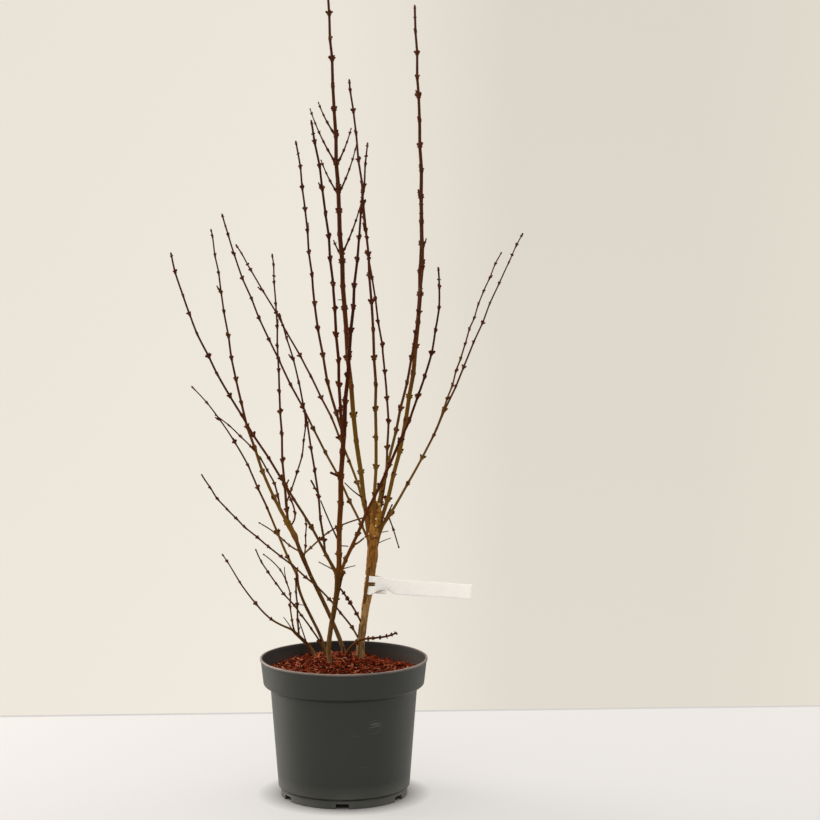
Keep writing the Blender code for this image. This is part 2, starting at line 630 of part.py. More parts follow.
def tag_path(stem_radius):
    """Plan of the tag: in from its free end, round the stem, and back to its own face."""
    inner = stem_radius + GAP + TAG_THICK / 2
    points = [
        Vector((TAG_REACH, -inner - TAG_BELLY)),
        Vector(((TAG_REACH + TAG_TAIL) / 2, -inner + TAG_BELLY / 2)),
        Vector((TAG_TAIL, -inner)),
    ]
    for k in range(TAG_LOOP_STEPS + 1):
        angle = -math.pi / 2 - TAG_LOOP_TURN * k / TAG_LOOP_STEPS
        points.append(Vector((math.cos(angle), math.sin(angle))) * inner)
    points.append(Vector((TAG_TAIL, -inner + TAG_THICK + 2 * GAP)))
    return points


def build_tag():
    """A plain white strip looped round the right stem, square to it."""
    stem = BY_NAME["stem_right"]
    middle = axis_point(stem, TAG_SHARE)
    up = (axis_direction(stem, TAG_SHARE) + Vector((0, 0, TAG_LIFT))).normalized()
    right = (Vector((1, 0, 0)) - up * up.x).normalized()
    away = up.cross(right)
    top_share = TAG_SHARE + TAG_LOOP_WIDTH / 2 / limb_length(stem)
    stem_radius = thickness(stem, top_share) / 2 * (1 + STEM_RIDGE)
    path = tag_path(stem_radius)
    rings = []
    for k, point in enumerate(path):
        before, after = path[max(k - 1, 0)], path[min(k + 1, len(path) - 1)]
        run = (after - before).normalized()
        normal = Vector((-run.y, run.x)) * (TAG_THICK / 2)
        fan = max(0, 1 - max(0, point.x) / TAG_FAN)
        width = TAG_WIDTH + (TAG_LOOP_WIDTH - TAG_WIDTH) * fan
        corners = []
        for offset, rise in ((1, -1), (1, 1), (-1, 1), (-1, -1)):
            flat = point + normal * offset
            corners.append(middle + right * flat.x + away * flat.y + up * (rise * width / 2))
        rings.append(corners)
    return add_object("tag", loft(rings), material("tag_film", TAG_COLOUR, 0.45))


def build_limbs(mulch):
    """Every stem, whip and shoot, each cut clear of what it grows from, and the twiggy ends."""
    spaces = {}

    def space(name):
        if name not in spaces:
            spaces[name] = clearance_solid(BY_NAME[name])
        return spaces[name]

    for limb in LIMBS:
        finish = material("wood_" + limb.wood, WOOD_COLOURS[limb.wood], 0.7)
        made = add_object(limb.name, loft(limb_rings(limb)), finish)
        if not limb.carrier:
            cut(mulch, space(limb.name))
        elif not continues(limb):
            cut(made, space(limb.carrier))
        for name in limb.clear_of:
            cut(made, space(name))
        if limb.enter < 1:
            twig_mass(limb, finish)


def main():
    for old in list(bpy.data.objects):
        bpy.data.objects.remove(old)
    build_pot()
    mulch = build_mulch()
    build_limbs(mulch)
    build_tag()


main()
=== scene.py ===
"""Looks of a potted border forsythia in winter.

Every limb repeats the rule that its solid is made by: one axis, one taper, and pairs of buds
at the same shares.  The bark of each limb is one surface with its own relief, and the twiggy
ends, buds, leaf scars and pores grow on those same axes.  The pot is a turned profile, the
mulch is a heaped bed under loose chips, and the tag is one slotted strip.

Metres, +Z up, with the camera on the -Y side.
"""

import logging
import math
import random
from collections.abc import Callable
from dataclasses import dataclass, field
from enum import Enum
from functools import partial

import bpy
import numpy as np
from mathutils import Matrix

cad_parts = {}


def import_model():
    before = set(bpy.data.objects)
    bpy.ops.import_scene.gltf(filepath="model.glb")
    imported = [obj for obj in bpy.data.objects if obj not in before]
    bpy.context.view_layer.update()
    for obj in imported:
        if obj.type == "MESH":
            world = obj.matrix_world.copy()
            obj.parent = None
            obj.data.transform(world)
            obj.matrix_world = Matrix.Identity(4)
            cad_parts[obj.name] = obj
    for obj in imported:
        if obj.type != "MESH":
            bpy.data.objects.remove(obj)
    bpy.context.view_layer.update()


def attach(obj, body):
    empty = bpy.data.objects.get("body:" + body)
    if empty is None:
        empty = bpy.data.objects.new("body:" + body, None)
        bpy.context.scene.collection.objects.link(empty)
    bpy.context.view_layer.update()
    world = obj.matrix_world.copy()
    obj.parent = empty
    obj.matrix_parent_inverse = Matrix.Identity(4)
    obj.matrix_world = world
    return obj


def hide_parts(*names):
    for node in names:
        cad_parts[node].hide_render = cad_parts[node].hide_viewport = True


log = logging.getLogger("forsythia")
Array = np.ndarray
Pair = tuple[float, float]
Triple = tuple[float, float, float]
Four = tuple[float, float, float, float]
MM = 0.001
MEAN_SHARE = 0.3  # where a limb's thickness is taken for the scale of its bark

# Seeds of the noises and draws that only the looks have
RIDGE_SEED, CRACK_SEED, LUMP_SEED, GRIT_SEED = 100, 200, 300, 400
SPUR_SEED, SNAG_SEED, TWIG_SKIN_SEED, STRAND_SEED = 500, 700, 900, 77
MULCH_SEEDS = (21, 22)

# Rule of the limbs, as in the part
SEED = 11
TWIG_SEED = 81
STEM_SET = 0.006  # how far the stems stand in the mulch
BEND_PEAK = 6.75  # makes t (1 - t)^2 reach 1 at its highest
AXIS_SAMPLES = 24
FLARE_LENGTH = 0.010
FLARE_SHARE = 0.28
COLLAR_LENGTH = 0.008
COLLAR_SHARE = 0.22
NODE_STEP = 0.042  # from one pair of buds to the next, on a long whip
SHORT_NODE_STEP = 0.026
NODE_SCATTER = 0.15
NODE_CLOSING = 0.25
FIRST_NODE = 0.020
NODE_START = 0.4
LAST_NODE = 0.012
NODE_CLEAR = 0.002
BUD_BELOW = 0.0030
BUD_ABOVE = 0.0050
THIN_FOOT = 0.0032
KINK = 0.0007
KINK_TURN = (2.4, 1.7)
KINK_PHASE = 1.9
TIP_BUD = 0.0045
SPUR_CHANCE = 0.16
SPUR_LENGTH = (0.008, 0.015)
SPUR_FOOT = 0.0019
SPUR_FIRST = 0.03
SPUR_LAST = 0.88
SIDE_TWIG_LEAN = 0.50  # radians between a side twig and its stem
SIDE_TWIG_CURL = 0.55  # share of that lean lost at its tip
SIDE_TWIG_FOOT = 0.0024
SIDE_TWIG_TIP = 0.0011
SIDE_TWIG_STEP = 0.028
PAIR_TURN = 0.35
HEAD_PROFILE = (
    (0.00, 0.0120), (0.28, 0.0108), (0.40, 0.0134), (0.72, 0.0166),
    (0.80, 0.0205), (0.86, 0.0215), (0.93, 0.0255), (1.00, 0.0190),
)
TALLEST_PAIRS = (
    (0.466, 0.026, 0.110), (0.571, 0.058, 0.080),
    (0.622, 0.092, 0.059), (0.672, 0.056, 0.010),
)
SHAPING = {  # share, spread, push to the right and swelling of a limb's bark
    "stem_right": (0.52, 0.20, 0.0015, 0.0),
    "stem_front": (0.75, 0.15, -0.0010, 0.0),
    "whip_centre": (0.03, 0.10, 0.0006, -0.15),
    "whip_tallest": (0.50, 0.28, 0.0, 0.35),
    "whip_right_tall": (0.50, 0.35, 0.0, 0.40),
}
CROWDED = {  # shares of short shoots where more buds crowd
    "sprig_low_right": (0.50, 0.71, 0.82, 0.905, 0.965),
    "shoot_stem_right": (0.58, 0.70, 0.735, 0.85),
}


class Wood(Enum):
    """Kinds of bark on the shrub; the value ends the name of a piece of twiggy ends."""

    TAN = "tan"
    OLIVE = "olive"
    RED = "red_brown"
    MAROON = "maroon"


@dataclass(frozen=True)
class Limb:
    """A stem, whip or shoot: where it grows, where it ends, and how it bends and tapers."""

    name: str
    carrier: str  # what it grows from, or "" for the mulch
    share: float  # how far along its carrier it grows
    seat: Triple
    tip: Triple
    bow: Triple  # bend a third of the way up
    sway: Triple  # bend two thirds up
    foot: float  # thickness at its foot
    end: float  # thickness at its tip
    wood: Wood
    enter: float = 1.0  # share where its twiggy end begins

    @property
    def is_stem(self) -> bool:
        """True for the old wood that stands in the mulch."""
        return self.name.startswith("stem")


LIMBS = tuple(Limb(*row) for row in (
    ("stem_front", "", 0, (-0.020, -0.005, 0.201), (-0.007, -0.010, 0.335),
     (-0.006, 0, 0), (0.003, 0, 0), 0.0078, 0.0104, Wood.TAN),
    ("stem_right", "", 0, (0.023, 0.040, 0.200), (0.046, 0.042, 0.430),
     (-0.001, 0, 0), (0.003, 0, 0), 0.0120, 0.0240, Wood.TAN),
    ("stem_back", "", 0, (0.000, 0.060, 0.200), (-0.075, 0.070, 0.375),
     (0.004, 0, 0), (-0.003, 0, 0), 0.0064, 0.0058, Wood.TAN),
    ("stem_left", "", 0, (-0.030, 0.065, 0.200), (-0.072, 0.075, 0.315),
     (0.005, 0, 0), (-0.007, 0, 0), 0.0050, 0.0042, Wood.TAN),
    ("stem_far_left", "", 0, (-0.045, 0.050, 0.200), (-0.080, 0.060, 0.235),
     (0.005, 0, 0), (0, 0, 0), 0.0055, 0.0045, Wood.TAN),
    ("whip_centre", "stem_front", 1, (0, 0, 0), (0.039, -0.130, 0.960),
     (-0.005, -0.010, 0), (-0.002, 0, 0), 0.0104, 0.0020, Wood.MAROON, 0.52),
    ("whip_tallest", "stem_right", 0.88, (-0.010, -0.002, 0), (-0.027, 0.030, 1.250),
     (-0.011, 0, 0), (0.001, 0, 0), 0.0078, 0.0034, Wood.OLIVE, 0.43),
    ("whip_front", "whip_centre", 0.29, (0, 0, 0), (-0.038, -0.170, 0.990),
     (0.004, -0.020, 0), (0.007, 0, 0), 0.0056, 0.0032, Wood.MAROON, 0.50),
    ("whip_inner_left", "whip_centre", 0.33, (0, 0, 0), (-0.068, 0.005, 0.965),
     (-0.013, 0.015, 0), (0.001, 0, 0), 0.0047, 0.0026, Wood.RED, 0.50),
    ("whip_mid_front", "stem_right", 0.91, (-0.001, -0.008, 0), (0.012, -0.075, 1.050),
     (0.010, -0.010, 0), (0.007, 0, 0), 0.0060, 0.0028, Wood.OLIVE, 0.50),
    ("whip_back", "stem_right", 0.88, (0.004, 0.008, 0), (0.024, 0.170, 0.895),
     (0.023, 0.010, 0), (0.001, 0, 0), 0.0044, 0.0026, Wood.RED, 0.50),
    ("whip_right_tall", "stem_right", 0.86, (0.008, 0.004, 0), (0.105, 0.135, 1.170),
     (0.030, 0.010, 0), (0.012, 0, 0), 0.0066, 0.0036, Wood.OLIVE, 0.50),
    ("whip_right_inner", "stem_right", 0.92, (0.002, 0.001, 0), (0.110, 0.030, 0.895),
     (0.006, -0.005, 0), (0.021, 0, 0), 0.0054, 0.0030, Wood.OLIVE, 0.50),
    ("whip_right_front", "stem_front", 0.93, (0, 0, 0), (0.137, -0.160, 0.788),
     (0.003, -0.015, 0), (0.029, 0, 0), 0.0058, 0.0026, Wood.MAROON, 0.55),
    ("whip_right_wide", "stem_right", 0.83, (0.008, -0.003, 0), (0.266, 0.070, 0.830),
     (0.014, 0.010, 0), (-0.002, 0, 0), 0.0046, 0.0015, Wood.OLIVE, 0.55),
    ("whip_right_fork", "whip_right_wide", 0.34, (0, 0, 0), (0.230, -0.040, 0.805),
     (0.001, 0, 0), (-0.006, 0, 0), 0.0030, 0.0015, Wood.OLIVE),
    ("whip_left_wide", "stem_front", 0.93, (0, 0, 0), (-0.241, -0.090, 0.806),
     (-0.007, -0.010, 0.017), (-0.019, 0, -0.009), 0.0044, 0.0026, Wood.RED, 0.55),
    ("whip_left_back", "stem_back", 1, (0, 0, 0), (-0.203, 0.130, 0.835),
     (-0.023, 0, 0), (-0.006, 0, 0), 0.0056, 0.0020, Wood.OLIVE, 0.50),
    ("whip_left_tall", "stem_right", 0.74, (-0.005, 0.003, 0), (-0.173, -0.030, 0.860),
     (0, 0.005, 0), (-0.014, 0, 0), 0.0042, 0.0022, Wood.OLIVE, 0.55),
    ("whip_back_left", "stem_right", 0.86, (-0.008, 0.006, 0), (-0.171, 0.200, 0.810),
     (0.014, 0.015, 0), (0.007, 0, 0), 0.0046, 0.0020, Wood.OLIVE, 0.55),
    ("whip_back_upright", "whip_left_back", 0.04, (0.0005, -0.0005, 0), (-0.116, 0.220, 0.795),
     (-0.004, 0.015, 0), (0.002, 0, 0), 0.0046, 0.0022, Wood.RED, 0.55),
    ("whip_front_left", "whip_left_wide", 0.07, (0, 0, 0), (-0.083, -0.180, 0.725),
     (0.004, -0.010, 0), (0.008, 0, 0), 0.0039, 0.0020, Wood.RED, 0.55),
    ("whip_low_left", "stem_left", 1, (0, 0, 0), (-0.231, 0.090, 0.600),
     (0.001, 0, 0), (0.018, 0, 0), 0.0045, 0.0015, Wood.OLIVE, 0.55),
    ("whip_low_back", "whip_left_back", 0.085, (0, 0, 0), (-0.202, 0.160, 0.550),
     (0.012, 0.010, 0), (0.014, 0, 0), 0.0032, 0.0016, Wood.RED),
    ("whip_low_front", "stem_right", 0.095, (0, 0, 0), (-0.206, -0.030, 0.482),
     (0.008, 0.005, 0.014), (-0.010, 0, -0.009), 0.0031, 0.0020, Wood.RED),
    ("shoot_mid", "whip_back_upright", 0.07, (0, 0, 0), (-0.063, 0.040, 0.590),
     (0.006, 0, 0), (0.010, 0, 0), 0.0026, 0.0020, Wood.RED),
    ("shoot_far_left", "stem_far_left", 1, (0, 0, 0), (-0.187, 0.090, 0.345),
     (-0.009, 0, -0.010), (-0.003, 0, 0), 0.0034, 0.0014, Wood.RED),
    ("shoot_left_front", "", 0, (-0.027, 0.046, 0.200), (-0.130, 0.000, 0.367),
     (0.005, 0, 0.005), (-0.004, 0, -0.004), 0.0030, 0.0017, Wood.RED),
    ("shoot_left_back", "stem_far_left", 0.86, (0, 0, 0), (-0.127, 0.120, 0.340),
     (0, 0, 0), (0.019, 0, 0), 0.0026, 0.0014, Wood.RED),
    ("shoot_left_upright", "stem_far_left", 0.74, (0, 0, 0), (-0.069, 0.030, 0.335),
     (0.000, 0, 0), (-0.003, 0, 0), 0.0032, 0.0022, Wood.RED),
    ("shoot_back_side", "stem_back", 0.87, (0, 0, 0), (-0.134, 0.130, 0.387),
     (-0.005, 0, 0), (0.012, 0, -0.005), 0.0027, 0.0016, Wood.RED),
    ("shoot_inner_upright", "stem_back", 0.80, (0, 0, 0), (-0.061, 0.020, 0.420),
     (0.001, 0, 0), (0.004, 0, 0), 0.0022, 0.0016, Wood.RED),
    ("shoot_inner_right", "stem_back", 0.84, (0, 0, 0), (0.038, 0.075, 0.405),
     (-0.002, 0.005, 0), (-0.019, 0, 0), 0.0031, 0.0019, Wood.OLIVE),
    ("shoot_inner_left", "whip_left_back", 0.03, (0, 0, 0), (-0.082, 0.040, 0.465),
     (0.011, 0, 0), (-0.006, 0, 0), 0.0030, 0.0020, Wood.OLIVE),
    ("shoot_hanging", "whip_right_wide", 0.045, (0, 0, 0), (0.082, 0.010, 0.366),
     (0, 0, 0), (0, 0, 0), 0.0022, 0.0015, Wood.RED),
    ("shoot_head_right", "stem_right", 0.785, (0.004, -0.006, 0), (0.072, 0.025, 0.430),
     (0.001, 0.002, 0), (0, 0, 0), 0.0026, 0.0018, Wood.OLIVE),
    ("shoot_front_right", "stem_front", 0.97, (0, 0, 0), (0.034, 0.010, 0.385),
     (0.012, 0, 0.024), (-0.010, 0, -0.006), 0.0031, 0.0024, Wood.OLIVE),
    ("sprig_low_right", "", 0, (0.000, 0.035, 0.202), (0.079, -0.010, 0.244),
     (-0.004, -0.010, 0.016), (-0.002, 0, -0.002), 0.0038, 0.0028, Wood.MAROON),
    ("shoot_stem_right", "stem_right", 0.21, (0, 0, 0), (-0.007, 0.020, 0.306),
     (0, 0, 0.002), (0.003, 0, -0.002), 0.0032, 0.0028, Wood.MAROON),
))


# Arrays


def unit(vectors: Array) -> Array:
    """Vectors of length 1 in the same directions."""
    return vectors / np.linalg.norm(vectors, axis=-1, keepdims=True)


def cross_axes(along: Array) -> tuple[Array, Array]:
    """Two directions square to each given direction.

    The first is +Y (or +X where the direction is nearly along Y) less its share along the
    direction, and the second is the direction crossed with the first.

    Args:
        along: Unit vectors, one a row.

    Returns:
        The two sets of unit vectors.
    """
    steep = np.abs(along[..., 1:2]) > 0.93
    helper = np.where(steep, (1.0, 0.0, 0.0), (0.0, 1.0, 0.0))
    across = unit(helper - along * (along * helper).sum(-1, keepdims=True))
    return across, np.cross(along, across)


def outward(along: Array, angle: float) -> Array:
    """The direction square to a limb's at an angle round it."""
    across, other = cross_axes(along)
    return across * math.cos(angle) + other * math.sin(angle)


def ring_angles(sides: int) -> Array:
    """Evenly spaced angles of a full turn, 1 by sides."""
    return np.linspace(0, math.tau, sides, endpoint=False)[None]


def rings_round(centre: Array, along: Array, angle: Array, radius: Array) -> Array:
    """Rings of points: centre + radius x (across cos a + other sin a).

    Args:
        centre: Middles of the rings, n by 3.
        along: Unit directions that the rings are square to, n by 3.
        angle: Angles round them, 1 by m.
        radius: Radii, n by m.

    Returns:
        Points, n by m by 3.
    """
    across, other = cross_axes(along)
    ring = across[:, None] * np.cos(angle)[..., None] + other[:, None] * np.sin(angle)[..., None]
    return centre[:, None] + ring * radius[..., None]


def run_along(points: Array) -> Array:
    """Length of a line of points up to each of them."""
    return np.concatenate(([0], np.cumsum(np.linalg.norm(np.diff(points, axis=0), axis=1))))


def grain_at(half: float, angle: Array, run: Array) -> Array:
    """Place on a straight stick of one thickness, which the finishes lay their grain along."""
    return np.stack(np.broadcast_arrays(
        half * np.cos(angle), half * np.sin(angle), run[:, None]), -1)


def columns_of(rows: list[tuple]) -> list[Array]:
    """The columns of a list of rows, as arrays."""
    return [np.array(column) for column in zip(*rows)]


def lattice_noise(u: Array, v: Array, cells: tuple[int, int], seed: int) -> Array:
    """Smooth noise from -1 to 1 that closes on itself round the limb.

    Random values stand on a lattice, and between them the value eases by 3f^2 - 2f^3.

    Args:
        u: Share of the length, 0 to 1.
        v: Share of the way round, 0 to 1, which repeats.
        cells: Number of lattice cells along and round.
        seed: Seed of the values.

    Returns:
        The noise, of the broadcast shape of u and v.
    """
    along, around = cells
    values = np.random.default_rng(seed).uniform(-1, 1, (along + 2, around))
    pu, pv = np.clip(u, 0, 1) * along, (v % 1) * around
    iu, iv = np.floor(pu).astype(int), np.floor(pv).astype(int)
    fu, fv = pu - iu, pv - iv
    fu, fv = fu * fu * (3 - 2 * fu), fv * fv * (3 - 2 * fv)
    iv, iw = iv % around, (iv + 1) % around
    low = values[iu, iv] * (1 - fv) + values[iu, iw] * fv
    high = values[iu + 1, iv] * (1 - fv) + values[iu + 1, iw] * fv
    return low * (1 - fu) + high * fu


@dataclass
class Patch:
    """Points, faces and point attributes of one surface, before it becomes a mesh."""

    points: Array
    faces: list[Array]
    marks: dict[str, Array] = field(default_factory=dict)
    finish: int = 0  # which of the piece's materials it has


def grid_faces(rows: int, columns: int, closed: bool) -> Array:
    """Quads of a grid of points, row by row; the last column meets the first when closed."""
    count = columns if closed else columns - 1
    row, column = np.meshgrid(np.arange(rows - 1), np.arange(count), indexing="ij")
    low, high = row * columns, (row + 1) * columns
    after = (column + 1) % columns
    quads = np.stack((low + column, low + after, high + after, high + column), -1)
    return quads.reshape(-1, 4)


def capped_grid(rings: Array, marks: dict[str, Array]) -> Patch:
    """Closed skin over rings of points, with a point at the middle of each end.

    Args:
        rings: Points, as rings by sides by 3.
        marks: Attributes, as rings by sides, or rings by sides by 3.

    Returns:
        The patch, facing outwards where the rings run counterclockwise about the way up.
    """
    count, sides = rings.shape[:2]
    points = np.concatenate((rings.reshape(-1, 3), rings[:1].mean(1), rings[-1:].mean(1)))
    side = np.arange(sides)
    after = (side + 1) % sides
    last = (count - 1) * sides
    low = np.stack((after, side, np.full(sides, count * sides)), -1)
    high = np.stack((last + side, last + after, np.full(sides, count * sides + 1)), -1)
    flat = {}
    for name, values in marks.items():
        values = values.reshape(count * sides, -1)
        ends = np.stack((values[:sides].mean(0), values[-sides:].mean(0)))
        flat[name] = np.concatenate((values, ends))
    return Patch(points, [grid_faces(count, sides, True), low, high], flat)


def scatter(template: Patch, base: Array, axes: Array, size: Array, finish: int = 0) -> Patch:
    """Copies of one small closed shape: point = base + x a + y b + z c, each scaled.

    Args:
        template: The shape, in its own axes.
        base: Places of the copies, n by 3.
        axes: Their own x, y and z directions, n by 3 by 3.
        size: Scales along x, y and z, n by 3.
        finish: Which of the piece's materials they have.

    Returns:
        One patch of all the copies.
    """
    count, corners = len(base), len(template.points)
    local = template.points[None] * size[:, None]
    points = base[:, None] + np.einsum("nvk,nkc->nvc", local, axes)
    shift = (np.arange(count) * corners)[:, None, None]
    faces = [(part[None] + shift).reshape(-1, part.shape[1]) for part in template.faces]
    return Patch(points.reshape(-1, 3), faces, {}, finish)


def add_piece(name: str, patches: list[Patch], materials: list[bpy.types.Material],
              replaces: tuple[str, ...] = (), smooth: bool = True) -> bpy.types.Object:
    """Make one mesh object of patches, ride it on the root body and hide the solids it stands for.

    Args:
        name: Name of the piece.
        patches: Its surfaces, which all have the same marks.
        materials: Its materials, in the order that the patches count them.
        replaces: Solids that it stands for.
        smooth: Whether it is shaded smooth.

    Returns:
        The object.
    """
    mesh = bpy.data.meshes.new(name)
    starts = np.cumsum([0] + [len(patch.points) for patch in patches])
    points = np.concatenate([patch.points for patch in patches])
    faces = [part + start for patch, start in zip(patches, starts) for part in patch.faces]
    finishes = [np.full(len(part), patch.finish) for patch in patches for part in patch.faces]
    sizes = np.concatenate([np.full(len(part), part.shape[1]) for part in faces])
    mesh.vertices.add(len(points))
    mesh.vertices.foreach_set("co", points.astype(np.float32).ravel())
    mesh.loops.add(int(sizes.sum()))
    mesh.loops.foreach_set("vertex_index", np.concatenate([part.ravel() for part in faces]))
    mesh.polygons.add(len(sizes))
    mesh.polygons.foreach_set("loop_start", np.concatenate(([0], np.cumsum(sizes)[:-1])))
    mesh.polygons.foreach_set("material_index", np.concatenate(finishes))
    for mark in patches[0].marks:
        values = np.concatenate([patch.marks[mark].reshape(len(patch.points), -1)
                                 for patch in patches])
        kind, key = ("FLOAT", "value") if values.shape[1] == 1 else ("FLOAT_VECTOR", "vector")
        layer = mesh.attributes.new(mark, kind, "POINT")
        layer.data.foreach_set(key, values.astype(np.float32).ravel())
    for material in materials:
        mesh.materials.append(material)
    mesh.update(calc_edges=True)
    mesh.validate()
    if smooth:
        mesh.shade_smooth()
    piece = bpy.data.objects.new(name, mesh)
    bpy.context.scene.collection.objects.link(piece)
    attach(piece, "root")
    if replaces:
        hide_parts(*replaces)
    log.info("%s: %d triangles", name, int((sizes - 2).sum()))
    return piece


# Finishes


def linear(code: str) -> Four:
    """Linear RGBA of an sRGB hex colour such as 8a5f2a."""
    parts = [int(code[k:k + 2], 16) / 255 for k in (0, 2, 4)]
    return (*(c / 12.92 if c <= 0.04045 else ((c + 0.055) / 1.055) ** 2.4 for c in parts), 1.0)


def add_node(tree: bpy.types.NodeTree, kind: str, settings: dict | None = None,
             links: dict | None = None) -> bpy.types.Node:
    """Add a node with its settings and links.

    Args:
        tree: The material's or world's node tree.
        kind: The node's type, without the words ShaderNode.
        settings: Properties by name, input values by name or number, and a ramp's stops.
        links: Output sockets by the input's name or number; a node stands for the first of
            its outputs that is in use.

    Returns:
        The node.
    """
    node = tree.nodes.new("ShaderNode" + kind)
    for key, value in (settings or {}).items():
        if key == "stops":
            ramp = node.color_ramp
            while len(ramp.elements) < len(value):
                ramp.elements.new(0.5)
            for element, (place, code) in zip(ramp.elements, value):
                element.position, element.color = place, linear(code)
        elif isinstance(key, str) and hasattr(node, key):
            setattr(node, key, value)
        else:
            node.inputs[key].default_value = value
    for key, source in (links or {}).items():
        if isinstance(source, bpy.types.Node):
            source = next(socket for socket in source.outputs if socket.enabled)
        tree.links.new(source, node.inputs[key])
    return node


def new_material(name: str) -> tuple[bpy.types.Material, Callable[..., bpy.types.Node]]:
    """An empty node material, and add_node for its own tree."""
    material = bpy.data.materials.new(name)
    material.use_nodes = True
    material.node_tree.nodes.clear()
    return material, partial(add_node, material.node_tree)


@dataclass(frozen=True)
class BarkFinish:
    """Bark of a limb: lengthwise lines in its grain, blotches, and a tint that changes with age.

    The cork of old stems is matt and cracked; the thin skin of a young whip is smooth and
    a little waxy, so it shines along its length. Shade is painted darker into the cracks of old
    bark and beside fused strands, and some strands are painted a darker tone of their own.
    """

    name: str
    stops: tuple[tuple[float, str], ...]  # colour from the foot, 0, to the young end, 1
    furrow: str  # in the lines of the grain, and as painted shade in cracks and beside strands
    bloom: str  # greyish, weathered patches
    bloom_share: float
    roughness: Pair
    line_width: float = 0.9 * MM
    line_length: float = 11 * MM
    blotch: float = 9 * MM
    bump: float = 0.25
    bump_height: float = 0.15 * MM
    crack: float = 0.35  # how strongly the furrows' colour shows
    crack_span: Pair = (0.36, 0.52)  # of the lines' noise, full to none
    drift: float = 0.12  # how far a blotch shifts the age of its colour
    bloom_edge: float = 0.12
    bloom_full: float = 0.7
    specular: float = 0.05

    def build(self) -> bpy.types.Material:
        """Make the material.

        Returns:
            A material that reads the marks grain, in metres, and age, and a mark of painted shade
            and darker tone, 0 to 1.
        """
        material, add = new_material(self.name)
        grain = add("Attribute", {"attribute_name": "grain"}).outputs["Vector"]
        age = add("Attribute", {"attribute_name": "age"}).outputs["Fac"]
        hollow = add("Attribute", {"attribute_name": "hollow"}).outputs["Fac"]
        fine = (1 / self.line_width, 1 / self.line_width, 1 / self.line_length)
        lines = add("TexNoise", {"Scale": 1.0, "Detail": 4.0, "Roughness": 0.6},
                    {"Vector": add("Mapping", {"Scale": fine}, {"Vector": grain})})
        coarse = (1.6 / self.blotch, 1.6 / self.blotch, 1 / self.blotch)
        blotches = add("TexNoise", {"Scale": 1.0, "Detail": 3.0},
                       {"Vector": add("Mapping", {"Scale": coarse}, {"Vector": grain})})
        drift = add("MapRange", {"To Min": -self.drift, "To Max": self.drift}, {"Value": blotches})
        place = add("Math", {"operation": "ADD", "use_clamp": True}, {0: age, 1: drift})
        tint = add("ValToRGB", {"stops": self.stops}, {"Fac": place})
        crack = add("MapRange", {"From Min": self.crack_span[0], "From Max": self.crack_span[1],
                                 "To Min": self.crack, "To Max": 0.0}, {"Value": lines})
        # painted shade: the marked cracks and seams take the furrow's dark colour, as do darker
        # strands
        dark = add("Math", {"operation": "MAXIMUM"}, {0: crack, 1: hollow})
        lined = add("Mix", {"data_type": "RGBA", 7: linear(self.furrow)}, {0: dark, 6: tint})
        low = 1 - self.bloom_share
        veil = add("MapRange", {"From Min": low, "From Max": low + self.bloom_edge,
                                "To Max": self.bloom_full}, {"Value": blotches})
        base = add("Mix", {"data_type": "RGBA", 7: linear(self.bloom)}, {0: veil, 6: lined})
        rough = add("MapRange", {"To Min": self.roughness[0], "To Max": self.roughness[1]},
                    {"Value": lines})
        bump = add("Bump", {"Strength": self.bump, "Distance": self.bump_height}, {"Height": lines})
        shader = add("BsdfPrincipled", {"IOR": 1.45, "Specular IOR Level": self.specular},
                     {"Base Color": base, "Roughness": rough, "Normal": bump})
        add("OutputMaterial", links={0: shader})
        return material


@dataclass(frozen=True)
class GrainFinish:
    """A natural finish with fine mottling: bud scales, chips, cut wood and dry stalks."""

    name: str
    colour: str
    shade: str  # the darker tone in its pits
    cell: float  # size of the mottling
    roughness: float = 0.7
    shade_share: float = 0.5
    bump: float = 0.3
    bump_height: float = 0.2 * MM
    shade_span: Pair = (0.35, 0.65)  # of the noise, full to none
    specular: float = 0.08

    def build(self) -> bpy.types.Material:
        """Make the material, whose mottling lies in the object's own coordinates."""
        material, add = new_material(self.name)
        noise = add("TexNoise", {"Scale": 1 / self.cell, "Detail": 3.0, "Roughness": 0.6},
                    {"Vector": add("TexCoord").outputs["Object"]})
        share = add("MapRange", {"From Min": self.shade_span[0], "From Max": self.shade_span[1],
                                 "To Min": self.shade_share, "To Max": 0.0}, {"Value": noise})
        base = add("Mix", {"data_type": "RGBA", 6: linear(self.colour), 7: linear(self.shade)},
                   {0: share})
        bump = add("Bump", {"Strength": self.bump, "Distance": self.bump_height}, {"Height": noise})
        shader = add("BsdfPrincipled", {"IOR": 1.45, "Roughness": self.roughness,
                                        "Specular IOR Level": self.specular},
                     {"Base Color": base, "Normal": bump})
        add("OutputMaterial", links={0: shader})
        return material


